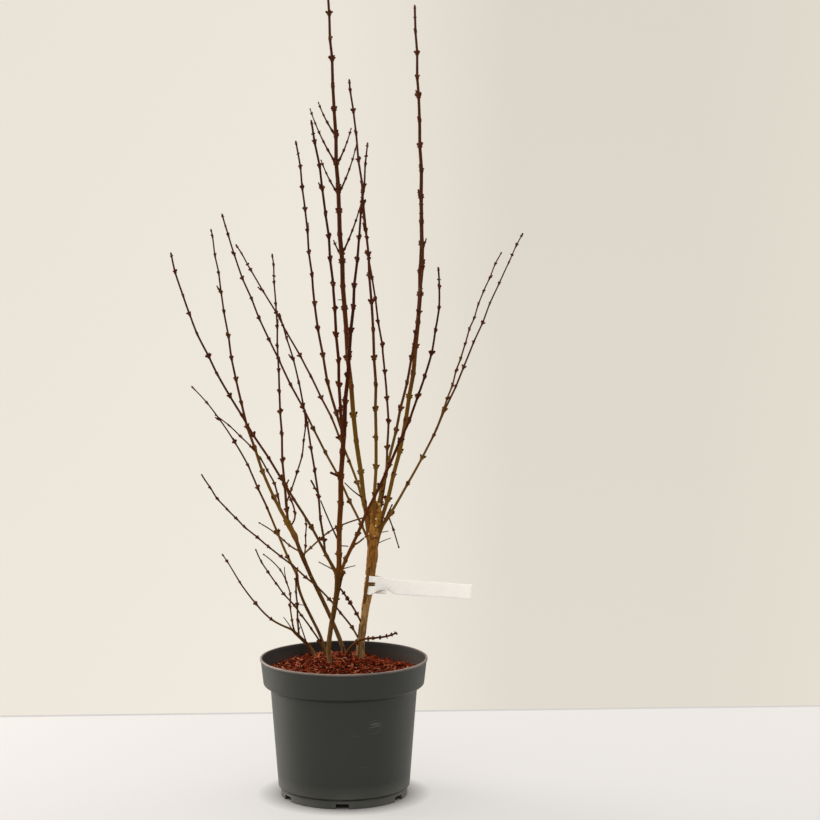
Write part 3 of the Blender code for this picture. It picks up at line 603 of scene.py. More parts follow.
@dataclass(frozen=True)
class MouldedPolypropylene:
    """Recycled charcoal polypropylene, injection moulded against a spark-eroded, matt mould.

    The eye sees a fine orange peel, a soft sheen, pale scuffs from stacking, and dust where
    water splashed earth up from the foot. A highlight is painted along the rim's top, shade is
    painted inside the pot and in the foot's joint, and brown soil stains the inside down at
    the mulch.
    """

    name: str = "charcoal_polypropylene"
    colour: str = "22251f"
    deep: str = "1b1d18"
    dust: str = "74736a"
    # painted highlight on the rim's top, with the mulch's reddish reflection painted into it
    rim_painted_highlight: str = "9f897e"
    scuff: str = "8a8b86"
    peel: float = 0.7 * MM
    peel_height: float = 0.08 * MM
    cloud: float = 60 * MM
    roughness: Pair = (0.40, 0.56)
    inside_roughness: float = 0.9
    scuff_length: float = 30 * MM
    scuff_width: float = 1.4 * MM
    scuff_slant: float = 0.6  # radians from level
    dust_height: float = 34 * MM
    dust_share: float = 0.60
    rim: Pair = (0.2018, 0.2046)  # the painted highlight lies between these heights
    graze: Triple = (0.048, -0.0935, 0.122)  # a faint graze in front
    graze_reach: Pair = (0.014, 0.006)  # from none to full
    inside_painted_shade_and_soil: tuple[str, str] = ("17120e", "4a2c1c")  # inside: painted shade at the rim, and brown soil down at the mulch
    # heights where the inside turns from painted shade to soil
    inside_shade_reach: Pair = (0.200, 0.184)
    joint: Pair = (0.0136, 0.0019)  # height and half width of the painted shade in the foot's joint
    # near-black painted shade in the joint's groove
    joint_painted_shade: str = "070605"

    def build(self) -> bpy.types.Material:
        """Make the material."""
        material, add = new_material(self.name)
        place = add("TexCoord").outputs["Object"]
        height = add("SeparateXYZ", links={0: place}).outputs["Z"]
        inside = add("Attribute", {"attribute_name": "inside"}).outputs["Fac"]
        cloud = add("TexNoise", {"Scale": 1 / self.cloud, "Detail": 4.0}, {"Vector": place})
        body = add("Mix", {"data_type": "RGBA", 6: linear(self.deep), 7: linear(self.colour)},
                   {0: cloud})
        fine = (1 / self.scuff_length, 1 / self.scuff_length, 1 / self.scuff_width)
        tilted = add("Mapping", {"Rotation": (0.0, self.scuff_slant, 0.0), "Scale": fine},
                     {"Vector": place})
        scratches = add("TexNoise", {"Scale": 1.0, "Detail": 2.0}, {"Vector": tilted})
        sparse = add("TexNoise", {"Scale": 0.45 / self.scuff_length, "Detail": 2.0},
                     {"Vector": place})
        away = add("VectorMath", {"operation": "DISTANCE", 1: self.graze}, {0: place})
        grazed = add("MapRange", {"From Min": self.graze_reach[0], "From Max": self.graze_reach[1]},
                     {"Value": away})
        thin, few, wide, joint_patches = (
            add("MapRange", {"From Min": low, "From Max": high, "To Max": most}, {"Value": noise})
            for noise, low, high, most in ((scratches, 0.66, 0.74, 0.5), (sparse, 0.61, 0.70, 0.5),
                                           (scratches, 0.53, 0.62, 0.22),
                                           (scratches, 0.32, 0.44, 1.0)))
        # painted shade along the foot's joint, broken into patches
        joint = add("Math", {"operation": "COMPARE", 1: self.joint[0], 2: self.joint[1]},
                    {0: height})
        settled = add("MapRange", {"From Max": self.dust_height, "To Min": self.dust_share,
                                   "To Max": 0.0}, {"Value": height})
        # the rim's painted highlight, and the inside's fall from painted shade to soil
        on_rim, lower = (add("MapRange", {"From Min": low, "From Max": high}, {"Value": height})
                         for low, high in (self.rim, self.inside_shade_reach))
        thin, wide, joint, settled, on_rim, lower = (
            add("Math", {"operation": "MULTIPLY"}, {0: a, 1: b})
            for a, b in ((thin, few), (wide, grazed), (joint, joint_patches), (settled, cloud),
                         (on_rim, cloud), (lower, cloud)))
        scuffs = add("Math", {"operation": "MAXIMUM"}, {0: thin, 1: wide})
        base = body
        for share, colour in ((scuffs, self.scuff), (settled, self.dust), (on_rim, self.rim_painted_highlight),
                              (joint, self.joint_painted_shade)):
            base = add("Mix", {"data_type": "RGBA", 7: linear(colour)}, {0: share, 6: base})
        # inside the pot: painted shade at the rim, brown soil down at the mulch
        high, low = self.inside_painted_shade_and_soil
        inside_painted_shade_and_soil = add("Mix", {"data_type": "RGBA", 6: linear(high), 7: linear(low)}, {0: lower})
        base = add("Mix", {"data_type": "RGBA"}, {0: inside, 6: base, 7: inside_painted_shade_and_soil})
        peel = add("TexNoise", {"Scale": 1 / self.peel, "Detail": 2.0}, {"Vector": place})
        bump = add("Bump", {"Strength": 0.10, "Distance": self.peel_height}, {"Height": peel})
        rough = add("MapRange", {"To Min": self.roughness[0], "To Max": self.roughness[1]},
                    {"Value": cloud})
        rough = add("Mix", {"data_type": "FLOAT", 3: self.inside_roughness}, {0: inside, 2: rough})
        shader = add("BsdfPrincipled", {"IOR": 1.49, "Specular IOR Level": 0.42},
                     {"Base Color": base, "Roughness": rough, "Normal": bump})
        add("OutputMaterial", links={0: shader})
        return material


@dataclass(frozen=True)
class LabelFilm:
    """White synthetic label paper: calendered film with a chalky coat and a faint satin shine."""

    name: str = "white_label_film"
    colour: str = "fcfaf4"
    shade: str = "f4f0e6"
    grain: float = 1.2 * MM
    cloud: float = 10 * MM
    grain_height: float = 0.05 * MM
    roughness: Pair = (0.42, 0.55)

    def build(self) -> bpy.types.Material:
        """Make the material."""
        material, add = new_material(self.name)
        place = add("TexCoord").outputs["Object"]
        coat = add("TexNoise", {"Scale": 1 / self.cloud, "Detail": 4.0}, {"Vector": place})
        base = add("Mix", {"data_type": "RGBA", 6: linear(self.colour), 7: linear(self.shade)},
                   {0: coat})
        fine = add("TexNoise", {"Scale": 1 / self.grain, "Detail": 2.0}, {"Vector": place})
        bump = add("Bump", {"Strength": 0.08, "Distance": self.grain_height}, {"Height": fine})
        rough = add("MapRange", {"To Min": self.roughness[0], "To Max": self.roughness[1]},
                    {"Value": coat})
        shader = add("BsdfPrincipled", {"IOR": 1.46, "Subsurface Weight": 0.05,
                                        "Subsurface Scale": 0.4 * MM},
                     {"Base Color": base, "Roughness": rough, "Normal": bump})
        add("OutputMaterial", links={0: shader})
        return material


BARKS = {
    Wood.TAN: BarkFinish(
        "corky_old_bark",
        ((0.0, "806440"), (0.32, "a5804e"), (0.62, "805424"), (0.85, "98682e"), (1.0, "946428")),
        "2c1506", "a08050", 0.32, (0.70, 0.90), line_width=1.7 * MM, line_length=12 * MM,
        blotch=8 * MM, bump=0.7, bump_height=0.7 * MM, crack=0.75, drift=0.25),
    Wood.OLIVE: BarkFinish(
        "olive_whip_bark",
        ((0.0, "70481f"), (0.12, "6b4c1a"), (0.4, "634612"), (0.7, "50290e"), (1.0, "47200b")),
        "2c1a09", "7d6436", 0.26, (0.60, 0.80)),
    Wood.RED: BarkFinish(
        "red_brown_whip_bark",
        ((0.0, "5b3f15"), (0.25, "523512"), (0.55, "4a270b"), (1.0, "431a08")),
        "260f06", "66492b", 0.25, (0.60, 0.80)),
    Wood.MAROON: BarkFinish(
        "maroon_whip_bark",
        ((0.0, "673d12"), (0.35, "562c0a"), (0.6, "461d08"), (1.0, "3e1707")),
        "1f0a05", "5c3c22", 0.22, (0.60, 0.80)),
}
THIN_STEM_BARK = BarkFinish(
    "tan_stem_bark",
    ((0.0, "6f5536"), (0.35, "64441e"), (0.6, "4e3211"), (1.0, "5c3812")),
    "261206", "857049", 0.34, (0.70, 0.90), line_width=1.5 * MM, line_length=10 * MM,
    blotch=7 * MM, bump=0.6, bump_height=0.6 * MM, crack=0.7, drift=0.25)
TWIG_BARKS = {
    Wood.OLIVE: GrainFinish("olive_twig_bark", "45200c", "341608", 6 * MM, 0.7),
    Wood.RED: GrainFinish("red_brown_twig_bark", "401907", "2e1005", 6 * MM, 0.7),
    Wood.MAROON: GrainFinish("maroon_twig_bark", "3a1507", "290d04", 6 * MM, 0.7),
}
BUD_SCALES = (
    GrainFinish("brown_bud_scale", "50250c", "2d1206", 1.0 * MM, 0.7),
    GrainFinish("red_bud_scale", "481a08", "290d05", 1.0 * MM, 0.7),
    GrainFinish("tan_bud_scale", "653d17", "3c200c", 1.0 * MM, 0.7),
)
LEAF_SCAR = GrainFinish("leaf_scar", "5c3d1e", "3a220f", 0.6 * MM, 0.8)
PORE = GrainFinish("cork_pore", "6e4d22", "4e3217", 0.4 * MM, 0.85)
CUT_WOOD = GrainFinish("pale_cut_wood", "d8bf92", "b08d5c", 1.2 * MM, 0.75)
DRY_STALK = GrainFinish("dry_stalk", "7d705a", "544937", 3 * MM, 0.8)
# real potting mix, but made near black so that the gaps between the chips show as painted shade
POTTING_MIX_AS_GAP_SHADE = GrainFinish("dark_potting_mix", "1c0a05", "0a0302", 2.2 * MM, 0.95,
                          bump=0.8, bump_height=0.8 * MM)
CHIPS = (
    (GrainFinish("red_bark_chip", "80290c", "491505", 2.4 * MM, 0.9), 0.33),
    (GrainFinish("brown_bark_chip", "521906", "280b03", 2.4 * MM, 0.9), 0.36),
    (GrainFinish("rust_bark_chip", "9b441a", "5b240c", 2.4 * MM, 0.9), 0.15),
    (GrainFinish("rose_bark_chip", "b56e4f", "783b24", 2.4 * MM, 0.9), 0.14),
    (GrainFinish("pale_wood_chip", "cc9a80", "905c44", 2.4 * MM, 0.9), 0.02),
)


# Limbs


class LimbPath:
    """Axis, thickness and bud pairs of one limb, worked out as arrays."""

    def __init__(self, limb: Limb, index: int, carrier: "LimbPath | None") -> None:
        """Place the limb on its carrier.

        Args:
            limb: Its sizes.
            index: Its number, which seeds its draws.
            carrier: What it grows from, or None for the mulch.
        """
        self.limb, self.index, self.carrier = limb, index, carrier
        seat = np.array(limb.seat, float)
        self.foot = seat - (0, 0, STEM_SET) if carrier is None else carrier.axis(limb.share) + seat
        samples = self.axis(np.linspace(0, 1, AXIS_SAMPLES + 1))
        self.length = float(np.linalg.norm(np.diff(samples, axis=0), axis=1).sum())
        self.nodes = self.bud_shares()
        self.forks: list[float] = []
        self.ridges: list[LimbPath] = []
        self.kink_at, self.kink_by = self.kinks()

    def axis(self, t: Array | float) -> Array:
        """Points: foot + (tip - foot) t, plus the bow and the sway."""
        t = np.asarray(t, float)[..., None]
        bow = np.array(self.limb.bow) * (BEND_PEAK * t * (1 - t) ** 2)
        sway = np.array(self.limb.sway) * (BEND_PEAK * t * t * (1 - t))
        return self.foot + (np.array(self.limb.tip) - self.foot) * t + bow + sway

    def along(self, t: Array | float) -> Array:
        """Unit directions: the slope of the axis."""
        t = np.asarray(t, float)[..., None]
        bow = np.array(self.limb.bow) * (BEND_PEAK * (1 - t) * (1 - 3 * t))
        sway = np.array(self.limb.sway) * (BEND_PEAK * t * (2 - 3 * t))
        return unit(np.array(self.limb.tip) - self.foot + bow + sway)

    def bud_shares(self) -> list[float]:
        """Shares where the bud pairs sit, closer together towards the tip."""
        limb, length = self.limb, self.length
        if limb.is_stem:
            return []
        rng = random.Random(SEED + self.index)
        step = NODE_STEP if limb.foot > THIN_FOOT else SHORT_NODE_STEP
        shares = []
        at = FIRST_NODE + rng.uniform(0, NODE_START) * step
        while at < length - LAST_NODE:
            shares.append(at / length)
            scatter_by = rng.uniform(1 - NODE_SCATTER, 1 + NODE_SCATTER)
            at += step * scatter_by * (1 - NODE_CLOSING * at / length)
        return shares

    def kinks(self) -> tuple[Array, Array]:
        """Shares and sideways shifts between which the axis runs straight from node to node."""
        places, shifts = [0.0], [np.zeros(3)]
        limb, clear = self.limb, NODE_CLEAR / self.length
        for number, share in enumerate(self.nodes):
            below, above = share - BUD_BELOW / self.length, share + BUD_ABOVE / self.length
            start, stop = (0, limb.enter) if share < limb.enter else (limb.enter, 1)
            if places[-1] < limb.enter <= below and limb.enter < 1:
                places.append(limb.enter)
                shifts.append(np.zeros(3))
            if below < start + clear or above > stop - clear:
                continue
            phase = self.index * KINK_PHASE
            turn_x, turn_y = (number * turn + phase for turn in KINK_TURN)
            shift = np.array((math.sin(turn_x), math.cos(turn_y), 0)) * KINK
            places += [below, above]
            shifts += [shift, shift]
        return np.array(places + [1 - TIP_BUD / self.length]), np.array(shifts + [np.zeros(3)])

    def centre(self, t: Array | float) -> Array:
        """The axis with its kinks."""
        t = np.asarray(t, float)
        shift = [np.interp(t, self.kink_at, self.kink_by[:, k]) for k in range(3)]
        return self.axis(t) + np.stack(shift, -1)

    def thickness(self, t: Array | float) -> Array:
        """Thickness at a share, with the flare or collar at the foot."""
        limb = self.limb
        t = np.clip(t, 0, 1)
        distance = t * self.length
        if limb.name == "stem_right":
            width = np.interp(t, *zip(*HEAD_PROFILE))
        else:
            width = limb.end + (limb.foot - limb.end) * (1 - t)
        if limb.is_stem:
            near = np.maximum(0, 1 - distance / (FLARE_LENGTH + STEM_SET))
            return width * (1 + FLARE_SHARE * near ** 2)
        if self.carrier and self.carrier.limb.is_stem:
            return width * (1 + COLLAR_SHARE * np.maximum(0, 1 - distance / COLLAR_LENGTH))
        return width

    def bud_angle(self, number: int) -> float:
        """Angle of the first bud of a pair round the axis; the other is opposite."""
        return 0.4 * math.sin(self.index * KINK_PHASE) + math.pi / 4 + math.pi / 2 * (number % 2)


@dataclass
class BarkRelief:
    """Surface of the bark: radius as a function of the share t and the angle a.

    radius = half the thickness x (four-angled section + ridges - furrows) + swellings at the
    bud pairs + swellings and fused strands where other limbs fork off.
    """

    section: float = 0.07  # share by which a whip's corners stand out
    section_base: float = 0.93
    node_swell: float = 0.90 * MM  # at a bud pair, towards the buds
    node_spread: float = 2.8 * MM  # length of that swelling
    shelf: float = 0.55 * MM  # ledge under each bud, where the leaf stood
    fork_swell: float = 0.16
    fork_spread: float = 6 * MM
    gather: float = 0.55  # a whip that soon forks is this much fuller at its foot
    gather_reach: float = 26 * MM
    gather_share: float = 0.10  # forks below this share count as soon
    waist: float = 0.88  # the front stem's shaft, and its knot under the whips
    knot: float = 1.55
    knot_reach: float = 7 * MM
    strand: float = 0.95  # height of a fused strand, as a share of the limb's half
    strand_down: float = 20 * MM  # how far it runs down the stem, and up past the fork
    strand_up: float = 5 * MM
    strand_turn: float = 0.72  # its half width round the stem, in radians
    strand_full: float = 6.0 * MM  # a thinner stem shows less of a strand
    ridge_round: int = 7
    ridge_length: float = 16 * MM
    young_ridge: float = 0.022
    old_ridge: float = 0.075
    furrow: float = 0.085
    gnarl: float = 0.13
    head_slim: float = 0.07  # the head's own wood, less the whips fused to it
    head_from: float = 0.55  # share of the right stem where its head begins
    head_ease: float = 0.3  # and the share over which it comes in
    old_step: float = 11 * MM  # length of a crack
    crack_width: float = 0.22  # of the noise, each side of a crack's middle
    grit: float = 0.045
    lump: float = 0.04
    waist_fall: float = 0.08  # how much slimmer the front stem is from half way up
    knot_lump: float = 0.12
    seam: Pair = (1.35, 0.22)  # line of painted shade beside a strand, where no furrow is cut: place and half width

    def radius(self, path: LimbPath, t: Array, angle: Array) -> Array:
        """Radius of the bark at shares t, n by 1, and angles, 1 by m."""
        return self.surface(path, t, angle)[0]

    def surface(self, path: LimbPath, t: Array, angle: Array) -> tuple[Array, Array]:
        """Radius of the bark, and its mark of painted shade and darker tone.

        Args:
            path: The limb.
            t: Shares along it, n by 1.
            angle: Angles round it, 1 by m.

        Returns:
            Radii, and marks of painted shade from 0 on open bark to 1 in a deep furrow, each n by
            m.
        """
        half = path.thickness(t) / 2
        v = angle / math.tau
        cells = max(2, round(path.length / self.ridge_length))
        ridges = lattice_noise(t, v, (cells, self.ridge_round), RIDGE_SEED + path.index)
        if path.limb.is_stem:
            return self.old(path, t, angle, half, ridges)
        body = self.section_base + self.section * np.cos(4 * angle - math.pi)
        radius = half * (body + self.young_ridge * ridges)
        size = np.clip(half / (1.9 * MM), 0.6, 1.3)
        for number, share in enumerate(path.nodes):
            offset = (t - share) * path.length
            facing = np.cos(angle - path.bud_angle(number)) ** 2
            swell = np.exp(-((offset - 0.4 * MM) / self.node_spread) ** 2)
            ledge = np.exp(-((offset + 1.1 * MM) / (0.8 * MM)) ** 2)
            radius = radius + size * (self.node_swell * swell * (0.45 + 0.55 * facing)
                                      + self.shelf * ledge * facing ** 3)
        for share in path.forks:
            offset = (t - share) * path.length
            radius = radius * (1 + self.fork_swell * np.exp(-(offset / self.fork_spread) ** 2))
        if any(share < self.gather_share for share in path.forks) and path.carrier.limb.is_stem:
            near = np.exp(-(t * path.length / self.gather_reach) ** 2)
            radius = radius * (1 + self.gather * near)
        return self.shaped(path, t, angle, radius), np.zeros_like(radius)

    def shaped(self, path: LimbPath, t: Array, angle: Array, radius: Array) -> Array:
        """Radius with the limb's own push to the right and swelling, where it has them."""
        if path.limb.name not in SHAPING:
            return radius
        place, spread, push, swelling = SHAPING[path.limb.name]
        near = np.exp(-((t - place) / spread) ** 2)
        return radius * (1 + swelling * near) - push * near * np.sin(angle)

    def old(self, path: LimbPath, t: Array, angle: Array, half: Array,
            ridges: Array) -> tuple[Array, Array]:
        """Radius of old bark: long ridges, cracks, lumps and fused strands; and its painted shade.

        Args:
            path: The stem.
            t: Shares along it, n by 1.
            angle: Angles round it, 1 by m.
            half: Half its thickness, n by 1.
            ridges: Noise of its long ridges, n by m.

        Returns:
            Radii, and marks of painted shade in cracks and beside strands and of the darker tone of
            maroon strands, each n by m.
        """
        v = angle / math.tau
        cells = max(3, round(path.length / self.old_step))
        cracks = lattice_noise(t, v, (cells, 9), CRACK_SEED + path.index)
        lumps = lattice_noise(t, v, (max(2, cells // 2), 4), LUMP_SEED + path.index)
        fine = lattice_noise(t, v, (cells * 5, 15), GRIT_SEED + path.index)
        crack = np.maximum(0, 1 - np.abs(cracks) / self.crack_width) ** 2
        head = np.zeros_like(t)
        if path.limb.name == "stem_right":
            head = np.clip((t - self.head_from) / self.head_ease, 0, 1)
        share = 1 + self.old_ridge * ridges - self.furrow * (1 + head) * crack + self.grit * fine
        share = share + (self.lump + self.gnarl * head) * lumps - self.head_slim * head
        if path.limb.name == "stem_front":
            top = np.exp(-((1 - t) * path.length / self.knot_reach) ** 2)
            waist = self.waist - self.waist_fall * np.clip(2 * t, 0, 1)
            share = share * (waist + (self.knot - waist) * top) + self.knot_lump * top * lumps
        # the mark paints shade into the cracks, more of it on the head
        radius, hollow = self.shaped(path, t, angle, half * share), (0.5 + 0.5 * head) * crack
        for other in path.ridges:
            along = path.along(other.limb.share)
            across, beside = cross_axes(along)
            leaves = other.axis(0.12) - path.axis(other.limb.share)
            facing = math.atan2(leaves @ beside, leaves @ across)
            turn = (angle - facing + math.pi) % math.tau - math.pi
            below = (other.limb.share - t) * path.length
            reach = np.where(below > 0, self.strand_down, self.strand_up)
            strength = np.exp(-(below / reach) ** 2)
            height = self.strand * float(other.thickness(0.05)) / 2
            height *= min(1.0, float(path.thickness(other.limb.share)) / 2 / self.strand_full)
            over = np.exp(-(turn / self.strand_turn) ** 2)
            radius = radius + height * strength * over
            # a dark line of painted shade where the strand meets the stem
            seam, wide = self.seam
            beside_it = np.exp(-((np.abs(turn) - seam * self.strand_turn) / wide) ** 2)
            hollow = np.maximum(hollow, 0.8 * strength * beside_it)
            # a maroon whip's strand is painted in its own darker tone
            if other.limb.wood is Wood.MAROON:
                hollow = np.maximum(hollow, 0.75 * (strength * over))
        return radius, np.broadcast_to(hollow, radius.shape)


@dataclass
class BarkBuilder:
    """Bark meshes of all the limbs, one for each, and the closed tubes that they are made of."""

    paths: dict[str, LimbPath]
    relief: BarkRelief = field(default_factory=BarkRelief)
    stem_sides: int = 40
    whip_sides: int = 16
    ring_step: float = 3 * MM  # between bud pairs
    node_step: float = 0.75 * MM  # at a bud pair
    stem_step: float = 1.5 * MM
    root_length: float = 38 * MM  # how far a whip runs down along the head that carries it
    stub_length: float = 8 * MM  # and into a stem that it continues
    plump: float = 0.20 * MM  # added to the radius of the thinnest wood
    first_age: float = 0.45  # age mark at the foot of a whip that a whip carries
    strand_reach: Pair = (0.355, 0.585)
    strand_place: Triple = (-2.5 * MM, 3.5 * MM, 9.9 * MM)
    strand_width: float = 5.2 * MM
    strand_marks: Pair = (0.6, 0.45)  # its age, and the darker tone of its own colour
    grain_apart: float = 0.37  # how far the grain of one limb lies from the next one's
    grain_strand: float = 0.11

    def stations(self, path: LimbPath, start: float, stop: float) -> Array:
        """Shares of the rings: evenly spaced, and closer together at each bud pair."""
        step = self.stem_step if path.limb.is_stem else self.ring_step
        shares = [np.linspace(start, stop, max(4, round((stop - start) * path.length / step)))]
        for node in path.nodes:
            reach = np.arange(-4 * MM, 5 * MM, self.node_step) / path.length
            shares.append(np.clip(node + reach, start, stop))
        ordered = np.unique(np.concatenate(shares))
        apart = np.diff(ordered, prepend=-1) * path.length > 0.3 * MM
        apart[-1] = True
        return ordered[apart]

    def root(self, path: LimbPath) -> tuple[Array, Array]:
        """Centres and radius factors of the wood that runs down into the carrier.

        A whip on the side of a stem lies along it and sinks in: offset x (1 - 0.5 s), where s
        runs from 0 at its foot to 1 at the root's end.  One that continues a stem follows the
        stem's axis.
        """
        limb, carrier = path.limb, path.carrier
        if carrier is None or not carrier.limb.is_stem:
            return np.zeros((0, 3)), np.zeros(0)
        seated = any(limb.seat)  # on the side of the stem, not at its fork or end
        if not seated and limb.share < 1:
            return np.zeros((0, 3)), np.zeros(0)
        length = self.root_length if seated else self.stub_length
        s = np.linspace(1, 0, 12)[:-1]
        shares = limb.share - s * length / carrier.length
        offset = np.array(limb.seat) * (1 - 0.5 * s[:, None])
        return carrier.axis(shares) + offset, 1 - 0.3 * s

    def tube(self, path: LimbPath, start: float, stop: float, sides: int, rooted: bool) -> Patch:
        """Closed tube of a limb's bark between two shares.

        Args:
            path: The limb.
            start: First share.
            stop: Last share.
            sides: Points round the limb.
            rooted: Whether it runs on down into its carrier.

        Returns:
            The tube, with the marks grain, age, and painted shade and darker tone.
        """
        t = self.stations(path, start, stop)
        angle = ring_angles(sides)
        radius, hollow = self.relief.surface(path, t[:, None], angle)
        radius = radius + self.plump * np.clip(2 - path.thickness(t) / (2 * MM), 0, 1)[:, None]
        axis, shift = path.axis(t), path.centre(t) - path.axis(t)
        along = path.along(t)
        if rooted:
            low, factor = self.root(path)
            axis = np.concatenate((low, axis))
            shift = np.concatenate((np.zeros_like(low), shift))
            radius = np.concatenate((radius[:1] * factor[:, None], radius))
            hollow = np.concatenate((np.zeros((len(low), sides)), hollow))
            t = np.concatenate((np.zeros(len(low)), t))
            near = slice(1, len(low) + 8)
            for _ in range(8 if len(low) else 0):
                axis[near] += (axis[0:len(low) + 7] + axis[2:len(low) + 9] - 2 * axis[near]) / 4
            along = unit(np.gradient(axis, axis=0))
        grain = grain_at(float(path.thickness(MEAN_SHARE)) / 2, angle,
                         run_along(axis) + path.index * self.grain_apart)
        age = np.broadcast_to(self.age(path, t)[:, None], radius.shape)
        return capped_grid(rings_round(axis + shift, along, angle, radius),
                           {"grain": grain, "age": age, "hollow": hollow})

    def age(self, path: LimbPath, t: Array) -> Array:
        """Age mark: 0 in the oldest bark, 1 where the twiggy end begins."""
        if path.limb.is_stem or path.carrier is None:
            return np.asarray(t, float)
        first = 0.0 if path.carrier.limb.is_stem else self.first_age
        return first + (1 - first) * np.clip(t / path.limb.enter, 0, 1)

    def dome(self, patch: Patch, path: LimbPath, sides: int) -> Patch:
        """Round off a stem's top by lifting its last cap's middle point."""
        up = path.along(1.0)
        last = patch.points[-2 - sides:-2]
        reach = np.linalg.norm(last - last.mean(0), axis=1).mean()
        patch.points[-1] += up * reach * 0.35
        return patch

    def build(self) -> None:
        """Make bark_NAME for every limb, each in place of that limb's solid."""
        materials = {wood: finish.build() for wood, finish in BARKS.items()}
        thin_stem = THIN_STEM_BARK.build()
        for name, path in self.paths.items():
            limb = path.limb
            thin = limb.is_stem and name != "stem_right"
            sides = self.stem_sides if limb.is_stem else self.whip_sides
            stop = limb.enter if limb.enter < 1 or limb.is_stem else 1 - 0.7 * TIP_BUD / path.length
            patch = self.tube(path, 0.0, stop, sides, True)
            if limb.is_stem:
                patch = self.dome(patch, path, sides)
            patches = [patch, self.strand(path)] if name == "stem_right" else [patch]
            add_piece("bark_" + name, patches, [thin_stem if thin else materials[limb.wood]],
                      (name,))

    def strand(self, path: LimbPath) -> Patch:
        """The strand on the stem's left that the tag is slipped behind.

        centre = axis + right x side - away x (sunk + (proud - sunk) sin(pi s)^0.7)
        """
        low, high = self.strand_reach
        s = np.linspace(0, 1, 60)
        t = low + (high - low) * s
        angle = ring_angles(self.whip_sides)
        along = path.along(t)
        away = unit(np.array((0, 1.0, 0)) - along * along[:, 1:2])
        right = np.cross(away, along)
        swell = np.sin(math.pi * s)[:, None] ** 0.7
        side, sunk, proud = self.strand_place
        centre = path.axis(t) + right * side - away * (sunk + (proud - sunk) * swell)
        half = self.strand_width / 2
        rough = lattice_noise(s[:, None], angle / math.tau, (14, 5), STRAND_SEED)
        radius = half * (0.75 + 0.25 * swell) * (1 + 0.13 * rough)
        grain = grain_at(half, angle, run_along(centre) + self.grain_strand)
        age, hollow = (np.full(radius.shape, mark) for mark in self.strand_marks)
        return capped_grid(rings_round(centre, unit(np.gradient(centre, axis=0)), angle, radius),
                           {"grain": grain, "age": age, "hollow": hollow})


@dataclass
class SideTwig:
    """A thin twig that leaves a limb and curves up along it."""

    base: Array
    along: Array
    side: Array
    length: float
    foot: float
    wood: Wood
    sides: int = 8
    slim: float = 0.64  # radius for each unit of the rule's thickness
    foot_swell: float = 0.45 * MM
    bud_swell: float = 0.75 * MM

    def points(self, s: Array) -> tuple[Array, Array]:
        """Centres and directions at shares s of its length.

        heading = along cos a + side sin a, with the angle a falling from the foot to the tip.
        """
        steps = max(2, round(self.length / SIDE_TWIG_STEP))
        fine = np.linspace(0, 1, 12 * steps + 1)
        lag = np.maximum(fine * steps - 0.5, 0) / steps
        angle = SIDE_TWIG_LEAN * (1 - SIDE_TWIG_CURL * lag)[:, None]
        heading = self.along * np.cos(angle) + self.side * np.sin(angle)
        middles = (heading[:-1] + heading[1:]) / 2
        run = np.concatenate((np.zeros((1, 3)), np.cumsum(middles, axis=0)))
        run = run * self.length / (12 * steps)
        centre = np.stack([np.interp(s, fine, run[:, k]) for k in range(3)], -1)
        towards = np.stack([np.interp(s, fine, heading[:, k]) for k in range(3)], -1)
        return self.base + centre, unit(towards)

    def bud_places(self) -> Array:
        """Shares where its small bud pairs sit."""
        count = max(1, round(self.length / (15 * MM)))
        return (np.arange(count) + 0.75) / (count + 0.35)

    def tube(self, index: int) -> Patch:
        """Closed tube with a slight swelling at each bud pair."""
        count = max(6, round(self.length / (3 * MM)))
        parts = [place + np.arange(-2, 3) * 0.8 * MM / self.length for place in self.bud_places()]
        parts.append(np.linspace(0, 1 - 2.2 * MM / self.length, count))
        s = np.unique(np.concatenate(parts))
        s = s[(s >= 0) & (s <= 1 - 2 * MM / self.length)]
        angle = ring_angles(self.sides)
        centre, along = self.points(s)
        radius = (self.foot + (SIDE_TWIG_TIP - self.foot) * s)[:, None] * self.slim
        radius = radius * (1 + 0.06 * lattice_noise(s[:, None], angle / math.tau, (9, 5), index))
        radius = radius + self.foot_swell * np.exp(-s * self.length / (2.5 * MM))[:, None]
        for place in self.bud_places():
            away = (s - place) * self.length / (1.7 * MM)
            radius = radius + self.bud_swell * np.exp(-away ** 2)[:, None]
        return capped_grid(rings_round(centre, along, angle, radius), {})


